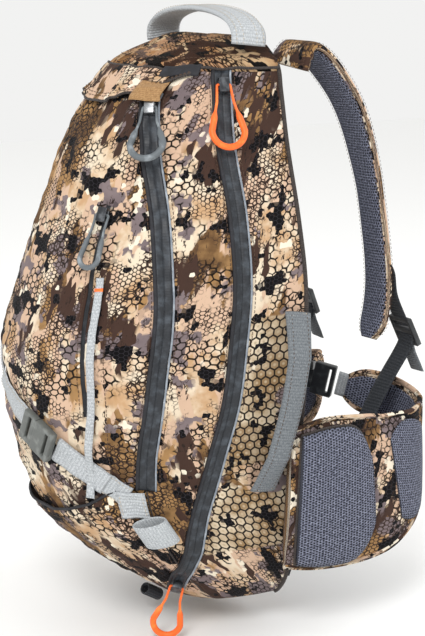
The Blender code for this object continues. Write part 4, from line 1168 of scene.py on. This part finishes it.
def side_handle():
    """Heathered webbing folded round a filler, sewn to the right side at both ends."""
    s = np.linspace(0, 1, HANDLE_POINTS)
    share, angle = (np.array([through(SIDE_HANDLE_LINE, x, column) for x in s]) for column in (1, 2))
    _, around, outs = skin_axes(share, angle)
    stand_off = 5.9 * MM + 16 * MM * np.minimum(1, np.sin(math.pi * s) * 1.5)
    spine = lifted(share, angle, stand_off)
    fold = np.sin(math.pi * s) ** 0.6
    size = ((27 - 4 * fold) * MM, (4.2 + 4.6 * fold) * MM)
    side = band("side_grab_handle", spine, around, *size, HEATHER_WEB_AND_PAINTED_SHADE, 0.7, 16, 0.15, "side_handle")
    stands_for(side, "grey_webbing", "side_handle")
    run = unit(np.gradient(spine, axis=0))
    face = np.cross(run, around)
    face *= np.sign((face * outs).sum(-1, keepdims=True))
    for shift in (-8, 8):
        path = spine + around * shift * MM + face * ((1.9 + 1.95 * fold) * MM)[:, None]
        stitch(path, face, THREAD, "side_handle")
    # three bars of thread across each sewn end
    for place in (3, HANDLE_POINTS - 4):
        for step in (-2, 0, 2):
            middle = spine[place + step] + face[place + step] * 2.1 * MM
            reach = around[place] * 9 * MM
            bar = np.array([middle - reach, middle, middle + reach])
            stitch(bar, face[place], THREAD_PALE, "side_handle", 2.2 * MM, 0.5 * MM, 1.0 * MM)


# ---- harness ----

STRAP_SPINE = (
    (0.070, 0.012, 0.249),
    (0.071, 0.016, 0.260),
    (0.073, 0.026, 0.266),
    (0.076, 0.048, 0.247),
    (0.079, 0.074, 0.208),
    (0.080, 0.093, 0.152),
    (0.081, 0.104, 0.092),
    (0.083, 0.108, 0.044),
    (0.085, 0.104, 0.010),
    (0.086, 0.096, -0.014),
)
ADJUSTER_LINE = (
    (0.084, 0.1100, 0.064),
    (0.0845, 0.1175, 0.050),
    (0.085, 0.121, 0.028),
    (0.087, 0.131, 0.004),
    (0.0878, 0.1350, -0.0050),
)
LOWER_LINE = (
    (0.0882, 0.1370, -0.0100),
    (0.0884, 0.1385, -0.0200),
    (0.088, 0.1345, -0.0300),
    (0.088, 0.108, -0.068),
    (0.094, 0.060, -0.140),
    (0.100, 0.018, -0.202),
    (0.094, 0.000, -0.219),
)
TAIL_LINE = (
    (0.0882, 0.1385, -0.0140),
    (0.088, 0.1425, -0.029),
    (0.0885, 0.1490, -0.043),
    (0.089, 0.1530, -0.052),
)
# the last number of each row is the wing's height there, as a share of WING_TALL
WING_SPINE = (
    (0.1415, -0.031, -0.142, 0.92),
    (0.1435, 0.005, -0.142, 1.00),
    (0.1490, 0.048, -0.141, 0.97),
    (0.1480, 0.082, -0.136, 0.88),
    (0.1330, 0.118, -0.124, 0.72),
    (0.1000, 0.141, -0.106, 0.50),
    (0.0610, 0.136, -0.086, 0.33),
    (0.0300, 0.110, -0.076, 0.25),
)
WING_TALL, WING_THICK = 0.146, 0.010


def other_side(points, sign):
    moved = np.array(points, float)
    moved[:, 0] *= sign
    return moved


PAD_FILL = 0.93  # share of its CAD thickness that a pad fills before it swells


def pad(name, spine, across, wide, thick, body, outer, inner, outer_sign, edge_share=0.74, wrinkle=0.5):
    """A foam pad: cloth outside and round the edges, mesh on the wearer's side, slightly creased."""
    spine, across = np.asarray(spine, float), unit(np.asarray(across, float))
    count = len(spine)
    run = unit(np.gradient(spine, axis=0))
    across = unit(across - run * (across * run).sum(-1, keepdims=True))
    out = np.cross(run, across)
    if (out[count // 2] * outer_sign).sum() < 0:
        out = -out
    length = run_length(spine)
    steps = np.linspace(-1, 1, 29)
    round_off = np.sqrt(np.clip(1 - np.abs(steps) ** 4.5, 0, 1))
    # a sewn line runs inside each edge: the foam is pinched there
    pinch = 1 - 0.30 * bump(np.abs(steps) - edge_share, 0.06)
    profile = [(s, 1, r * p) for s, r, p in zip(steps, round_off, pinch)]
    profile += [(s, -1, r * p) for s, r, p in list(zip(steps, round_off, pinch))[-2:0:-1]]
    crease = waves(np.stack([length * 30, 0 * length, 0 * length], -1), 1.0, 7.0 + len(name), 2)
    points, layout = [], []
    for k in range(count):
        for s, side, r in profile:
            swell = 1 + 0.10 * (1 - s * s) + 0.10 * wrinkle * crease[k] * math.cos(5 * s)
            rise = side * thick / 2 * r * swell * PAD_FILL
            points.append(spine[k] + across[k] * s * wide[k] / 2 + out[k] * rise)
            layout.append((s * wide[k] / 2 + (0.3 if side < 0 else 0.0), length[k]))
    ring = len(profile)
    faces = grid_faces(count, ring, True)
    faces.append(tuple(range(ring)))
    faces.append(tuple(range((count - 1) * ring, count * ring))[::-1])
    obj = shown(name, points, faces, outer, layout)
    obj.data.materials.append(inner)
    kinds = [int(side < 0 and abs(s) < edge_share) for s, side, _ in profile] * (count - 1)
    obj.data.polygons.foreach_set("material_index", kinds + [0, 0])
    outward(obj)
    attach(obj, body)
    for s in (-edge_share, edge_share):
        for side in (1, -1):
            depth = thick / 2 * PAD_FILL * 0.72
            path = spine + across * (s * wide / 2)[:, None] + out * side * (depth + 0.2 * MM)
            stitch(path[2:-2], out[2:-2] * side, THREAD, body)
    return obj, across, out


X_AXIS, Z_AXIS = np.array((1.0, 0.0, 0.0)), np.array((0.0, 0.0, 1.0))
TAIL_WIDE = 22.5 * MM


def strap_web(name, line, finish, node_name, slot, sign, side, wide=25 * MM, thick=1.8 * MM):
    """One length of flat webbing of a shoulder strap."""
    path = other_side(smooth_path(line, 12), sign)
    across = np.tile(X_AXIS, (len(path), 1))
    body = f"shoulder_strap_{side}"
    obj = band(f"{name}_{side}", path, across, wide, thick, finish, 0.25, 8, 0.0, body)
    return stands_for(obj, slot, f"{node_name}_{side}")


def harness():
    for sign, side in ((1, "right"), (-1, "left")):
        spine = other_side(smooth_path(STRAP_SPINE, 14), sign)
        spots = np.linspace(0, 1, len(spine))
        # 64 mm wide over the shoulder, 40 mm below it, and a rounded end
        wide = 0.064 - 0.024 * np.clip((spots - 0.25) / 0.35, 0, 1)
        wide = wide * (1 - 0.62 * np.clip((spots - 0.90) / 0.10, 0, 1) ** 2.4)
        across = np.tile(X_AXIS, (len(spine), 1))
        name, body = f"shoulder_strap_pad_{side}", f"shoulder_strap_{side}"
        outside = np.array((0, 1, 0.3))
        strap, _, _ = pad(name, spine, across, wide, 12 * MM, body, CAMO_WING, MESH, outside, 0.88)
        stands_for(strap, "air_mesh", f"shoulder_pad_{side}")
        strap_web("adjuster_webbing", ADJUSTER_LINE, DARK_WEB, "adjuster_web", "dark_webbing", sign, side)
        strap_web("lower_webbing", LOWER_LINE, DARK_WEB, "lower_web", "dark_webbing", sign, side)
        # the free tail takes the darker heathered webbing for the shade it hangs in: painted shade
        kind = ("free_tail_webbing", TAIL_LINE, HEATHER_WEB_AND_PAINTED_SHADE, "web_tail", "grey_webbing")
        tail = strap_web(*kind, sign, side, TAIL_WIDE, 1.7 * MM)
        long = float(run_length(smooth_path(TAIL_LINE, 12))[-1])
        # the folded tab that holds the lower webbing at the bag's corner
        anchor = np.array([(0.094 * sign, -0.0045, -0.223 - 0.005 * k) for k in np.linspace(0, 2, 9)])
        across, wide = np.tile(X_AXIS, (9, 1)), np.linspace(30, 20, 9) * MM
        tab = band(f"corner_tab_{side}", anchor, across, wide, 5 * MM, DARK_WEB, 0.4, 8)
        stands_for(tab, "dark_webbing", f"strap_anchor_{side}")


POCKET_THICK = 12 * MM


def wing_pocket(side, body, spine, across, out, tall):
    """The bound mesh pocket on the outside of a wing: spine, across, out and tall cover its length."""
    spots = np.linspace(0, 1, len(spine))
    size = tall * 0.93 * (1 - 0.45 * np.clip((spots - 0.62) / 0.38, 0, 1) ** 2.6)
    thick = POCKET_THICK * (0.30 + 0.70 * np.sin(np.pi * np.clip(spots, 0.03, 0.97)) ** 0.45)
    lift = WING_THICK / 2 + 0.6 * MM + POCKET_THICK / 2 - (POCKET_THICK - thick) / 2 * 0.9
    middle = spine + out * lift[:, None]
    pocket = band(f"wing_pocket_mesh_{side}", middle, across, size, thick, MESH, 0.45, 24, 0.05, body)
    stands_for(pocket, "air_mesh", f"wing_pocket_{side}")
    half = across * (size / 2)[:, None]
    rim = np.concatenate([middle + half, (middle - half)[::-1]])
    rim -= np.concatenate([out, out[::-1]]) * 3 * MM
    closed_binding(f"wing_pocket_binding_{side}", rim, 3 * MM, 1.4 * MM, body)


def wings():
    for sign, side in ((1, "right"), (-1, "left")):
        body = f"hip_wing_{side}"
        rows = smooth_path(WING_SPINE, 14)
        spine = other_side(rows[:, :3], sign)
        spots = np.linspace(0, 1, len(spine))
        tall = np.maximum(WING_TALL * rows[:, 3], 34 * MM)
        tall = tall * (1 - 0.42 * np.clip((spots - 0.93) / 0.07, 0, 1) ** 2.2)
        tilt = sign * 0.09 * np.clip(1 - np.arange(len(spine)) / 42, 0, 1)
        lean = np.stack([tilt, 0 * spots, 0 * spots + 1], -1)
        name, outside = f"hip_wing_pad_{side}", np.array((sign, 0.0, 0.0))
        cloths = (CAMO_WING, MESH)
        wing, across, out = pad(name, spine, lean, tall, WING_THICK, body, *cloths, outside, 0.84, 0.7)
        stands_for(wing, "camo_fabric", f"hip_wing_{side}")
        near = slice(3, 31)
        wing_pocket(side, body, spine[near], across[near], out[near], tall[near])
        # mesh let into the outside further along
        far = slice(42, 61)
        spots = np.linspace(0, 1, 19)
        size = tall[far] * (0.90 - 0.25 * (2 * spots - 1) ** 2)
        line = spine[far] + out[far] * (WING_THICK / 2 + 0.4 * MM)
        name = f"wing_mesh_inlay_{side}"
        inlay = band(name, line, across[far], size, 2.2 * MM, MESH, 0.3, 18, 0.2, body)
        for edge, way in (("top", 1), ("bottom", -1)):
            path = spine + way * across * (tall / 2)[:, None]
            tube(f"wing_binding_{edge}_{side}", path, 2.6 * MM, CAMO_WING, 10, False, body)
        # belt webbing out of the wing's tip, as far as the buckle
        run = unit(spine[-1] - spine[-2])
        upright = np.tile(unit(Z_AXIS - run * run[2]), (9, 1))
        start = spine[-1] + run * (0.3 * MM + 8.5 * MM * abs(run[2]))
        web = np.array([start + run * 2.2 * MM * (k - 4) for k in range(9)])
        name = f"belt_webbing_{side}"
        belt = band(name, web, upright, 25 * MM, 1.8 * MM, GREY_WEB, 0.25, 8, 0.0, body)
        stands_for(belt, "grey_webbing", f"belt_web_{side}")


def closed_binding(name, edge, gap, radius, body):
    """Binding tape, rolled round the closed edge of a piece."""
    ring = resampled(np.concatenate([edge, edge[:1]]), gap)[:-1]
    return tube(name, ring, radius, BINDING, 8, True, body)


def back_padding():
    """Back pad: two puffed mesh columns beside a channel, quilted across; and the yoke above it."""
    yoke_face = BACK_Y + 0.0074
    for name, low, high, inset, y_face, thick, finish, node_name, slot in (
        ("back_pad_mesh", 0.125, 0.88, 0.014, 0.0, 0.0074, MESH_PAINTED_SHADE, "back_pad", "air_mesh"),
        (
            "harness_yoke_pad", 0.886, 0.955, 0.012, yoke_face, 0.007,
            CAMO_CROWN_PAINTED_SHADE, "harness_yoke", "camo_fabric",
        ),
    ):
        rows, columns = 90, 60
        share = np.linspace(low, high, rows)[:, None]
        v = np.linspace(-1, 1, columns)[None, :]
        x = (np.interp(share, SAMPLES, WIDTHS) - inset) * v
        z = BODY_LOW + BODY_HEIGHT * share + 0 * v
        u = (share - low) / (high - low) + 0 * v
        puff = np.clip(1 - np.abs(v) ** 10, 0, 1) ** 0.5 * np.clip(1 - np.abs(2 * u - 1) ** 30, 0, 1) ** 0.5
        if "back" in name:
            channel = 1 - 0.75 * bump(v, 0.16)
            quilt = 1 - 0.35 * sum(bump(u - line, 0.012) for line in (0.22, 0.40, 0.58, 0.76))
            puff = puff * channel * quilt
        face = y_face - thick * (1 - (0.12 + 0.88 * puff))
        front = np.stack([x, face, z], -1).reshape(-1, 3)
        behind = np.stack([x, 0 * x + y_face - thick, z], -1).reshape(-1, 3)
        points = np.concatenate([front, behind])
        obj = outward(shown(name, points, sheet_faces(rows, columns), finish, points[:, [0, 2]]))
        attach(obj, "pack_body")
        stands_for(obj, slot, node_name)
        depth = np.full(rows, y_face - thick + 0.001)
        sides = [np.stack([x[:, end], depth, z[:, end]], -1) for end in (0, -1)]
        edge = np.concatenate([sides[0], sides[1][::-1]])
        closed_binding(name + "_binding", edge, 4 * MM, 1.5 * MM, "pack_body")


# ---- moulded and metal parts ----


def refine(name, finish, bevel):
    """A CAD node kept in view: its corners rounded as a mould leaves them, in its real finish."""
    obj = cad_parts[name]
    obj.data.materials[0] = finish
    with_modifier(obj, "WELD", merge_threshold=1e-5)
    with_modifier(obj, "BEVEL", width=bevel * MM, segments=3, limit_method="ANGLE", angle_limit=0.6)
    obj.data.polygons.foreach_set("use_smooth", [True] * len(obj.data.polygons))


# slider: middle of the cord's bar, its direction, then length, width and grip radius in mm
PULLS = {
    "main_zip_top": ((0.08991, -0.07005, 0.23646), (0.2576, 0.9662, -0.0053), 58, 30, 3.0),
    "main_zip_base": ((0.07787, -0.11325, -0.23239), (0.4958, 0.827, -0.2649), 49, 26, 3.0),
    "front_zip": ((0.06649, -0.13232, 0.21752), (0.6496, 0.7574, 0.0661), 52, 30, 3.0),
    "pocket_zip": ((0.0688, -0.18121, 0.12537), (0.8275, 0.5537, -0.0931), 50, 18, 2.4),
}
CORD_RADIUS = 1.2 * MM
CORD_BAR = 6.1 * MM


def cord_pull(name, eye, side, long, wide, grip):
    """A cord loop through a slider's bridge: thin at the bar, with a moulded grip round its far half."""
    finish, slot = (ORANGE, "orange_pull") if "main" in name else (GRIP_GREY, "grey_pull")
    long, wide, grip = long * MM, wide * MM, grip * MM
    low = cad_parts[name + "_pull"]
    cage = np.array([low.matrix_world @ vertex.co for vertex in low.data.vertices])
    eye, side = np.array(eye), unit(np.array(side))
    fall = cage.mean(0) - eye
    hang = unit(fall - side * (fall @ side))
    radius = wide / 2
    knee = max(wide * 0.26, CORD_BAR)
    half = [(0, 0), (CORD_BAR - 0.9 * MM, 0), (CORD_BAR - 0.25 * MM, 0.25 * MM), (CORD_BAR, 0.9 * MM)]
    half.append((knee, long * 0.28))
    turn = np.linspace(0, math.pi / 2, 14)
    half += [(radius * math.cos(a), long - radius + radius * math.sin(a)) for a in turn]
    half = np.array(half)
    ring = np.concatenate([half, half[-2:0:-1] * (-1, 1)])
    ring = np.column_stack([np.concatenate([ring, ring[:1]]), np.zeros(len(ring) + 1)])
    path = resampled(ring, 0.7 * MM)[:-1]
    grips = np.clip((path[:, 1] / long - 0.40) / 0.14, 0, 1)
    thick = CORD_RADIUS + (grip - CORD_RADIUS) * grips**2 * (3 - 2 * grips)
    path = eye + side * path[:, :1] + hang * path[:, 1:2]
    obj = tube(name + "_cord_pull", path, thick, finish, 14, closed=True, body=name + "_pull")
    stands_for(obj, slot, name + "_pull")


def moulded_parts():
    for name in ("compression_buckle_socket", "compression_buckle_prong"):
        refine(name, BUCKLE, 1.1)
    for name in ("belt_buckle_socket", "belt_buckle_prong", "ladder_lock_right", "ladder_lock_left"):
        refine(name, BUCKLE_DARK, 1.2)
    for name, shape in PULLS.items():
        refine(name + "_slider", METAL if name == "front_zip" else SLIDER_DARK, 0.7)
        cord_pull(name, *shape)
    for name, finish in (("frame_sheet", BUCKLE_DARK), ("divider_panel", LINING_AND_PAINTED_SHADE)):
        refine(name, finish, 0.4)


# ---- stage, light and camera ----

TARGET = Vector((-0.0091, -0.0242, 0.0010))
AZIMUTH, ELEVATION, DISTANCE = math.radians(60), math.radians(12), 1.7
LENS_MM = 65.43


def stage_and_light():
    floor_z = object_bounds()[0][2] - 0.002
    bpy.ops.mesh.primitive_plane_add(size=8, location=(0, 0, floor_z))
    floor = bpy.context.object
    floor.name = "studio_floor"
    pale, _, _ = material("studio_floor_paint", {"Base Color": linear("FAFAF9"), "Roughness": 0.9})
    floor.data.materials.append(pale)
    world = bpy.data.worlds.new("studio_surround")
    bpy.context.scene.world = world
    world.use_nodes = True
    ground = world.node_tree.nodes["Background"]
    ground.inputs["Color"].default_value = linear("FBFBFA")
    ground.inputs["Strength"].default_value = 0.92
    for name, place, size, power in (
        ("key_softbox", (1.7, -1.5, 1.7), 1.0, 44.0),
        ("fill_softbox", (-1.6, -1.9, 0.9), 1.6, 5.0),
        ("rim_softbox", (0.6, 2.0, 1.6), 1.4, 18.0),
    ):
        data = bpy.data.lights.new(name, "AREA")
        data.size, data.energy = size, power
        light = bpy.data.objects.new(name, data)
        light.location = place
        light.rotation_euler = (TARGET - Vector(place)).to_track_quat("-Z", "Y").to_euler()
        bpy.context.collection.objects.link(light)


def stand_camera():
    level = math.cos(ELEVATION)
    back = Vector((math.sin(AZIMUTH) * level, -math.cos(AZIMUTH) * level, math.sin(ELEVATION)))
    data = bpy.data.cameras.new("front_three_quarter")
    data.sensor_fit, data.sensor_height, data.lens = "VERTICAL", 24.0, LENS_MM
    camera = bpy.data.objects.new("front_three_quarter", data)
    camera.location = TARGET + back * DISTANCE
    camera.rotation_euler = (-back).to_track_quat("-Z", "Y").to_euler()
    bpy.context.collection.objects.link(camera)
    scene = bpy.context.scene
    scene.camera = camera
    scene.render.resolution_x, scene.render.resolution_y = 425, 636
    scene.view_settings.view_transform = "Standard"


def skin_layout_for_cad():
    """CAD nodes that stay in view get the same flat layout, by projection along their widest faces."""
    for name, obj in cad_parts.items():
        mesh = obj.data
        chart = mesh.uv_layers.get("cloth") or mesh.uv_layers.new(name="cloth")
        points = np.empty(len(mesh.vertices) * 3)
        mesh.vertices.foreach_get("co", points)
        points = points.reshape(-1, 3)
        corners = np.empty(len(mesh.loops), np.int32)
        mesh.loops.foreach_get("vertex_index", corners)
        normals = np.empty(len(mesh.polygons) * 3)
        mesh.polygons.foreach_get("normal", normals)
        spans = np.empty(len(mesh.polygons), np.int32)
        mesh.polygons.foreach_get("loop_total", spans)
        lead = np.repeat(np.abs(normals.reshape(-1, 3)).argmax(1), spans)
        at = points[corners]
        u = np.where(lead == 0, at[:, 1], at[:, 0])
        v = np.where(lead == 2, at[:, 1], at[:, 2])
        chart.data.foreach_set("uv", np.stack([u, v], -1).ravel())


skin_layout_for_cad()
shell()
zips()
seams()
hood()
crown_dome()
slider_garage()
base_pocket()
sewn_webbing()
loops()
top_handle()
side_handle()
harness()
wings()
back_padding()
moulded_parts()
sewn()
stage_and_light()
stand_camera()
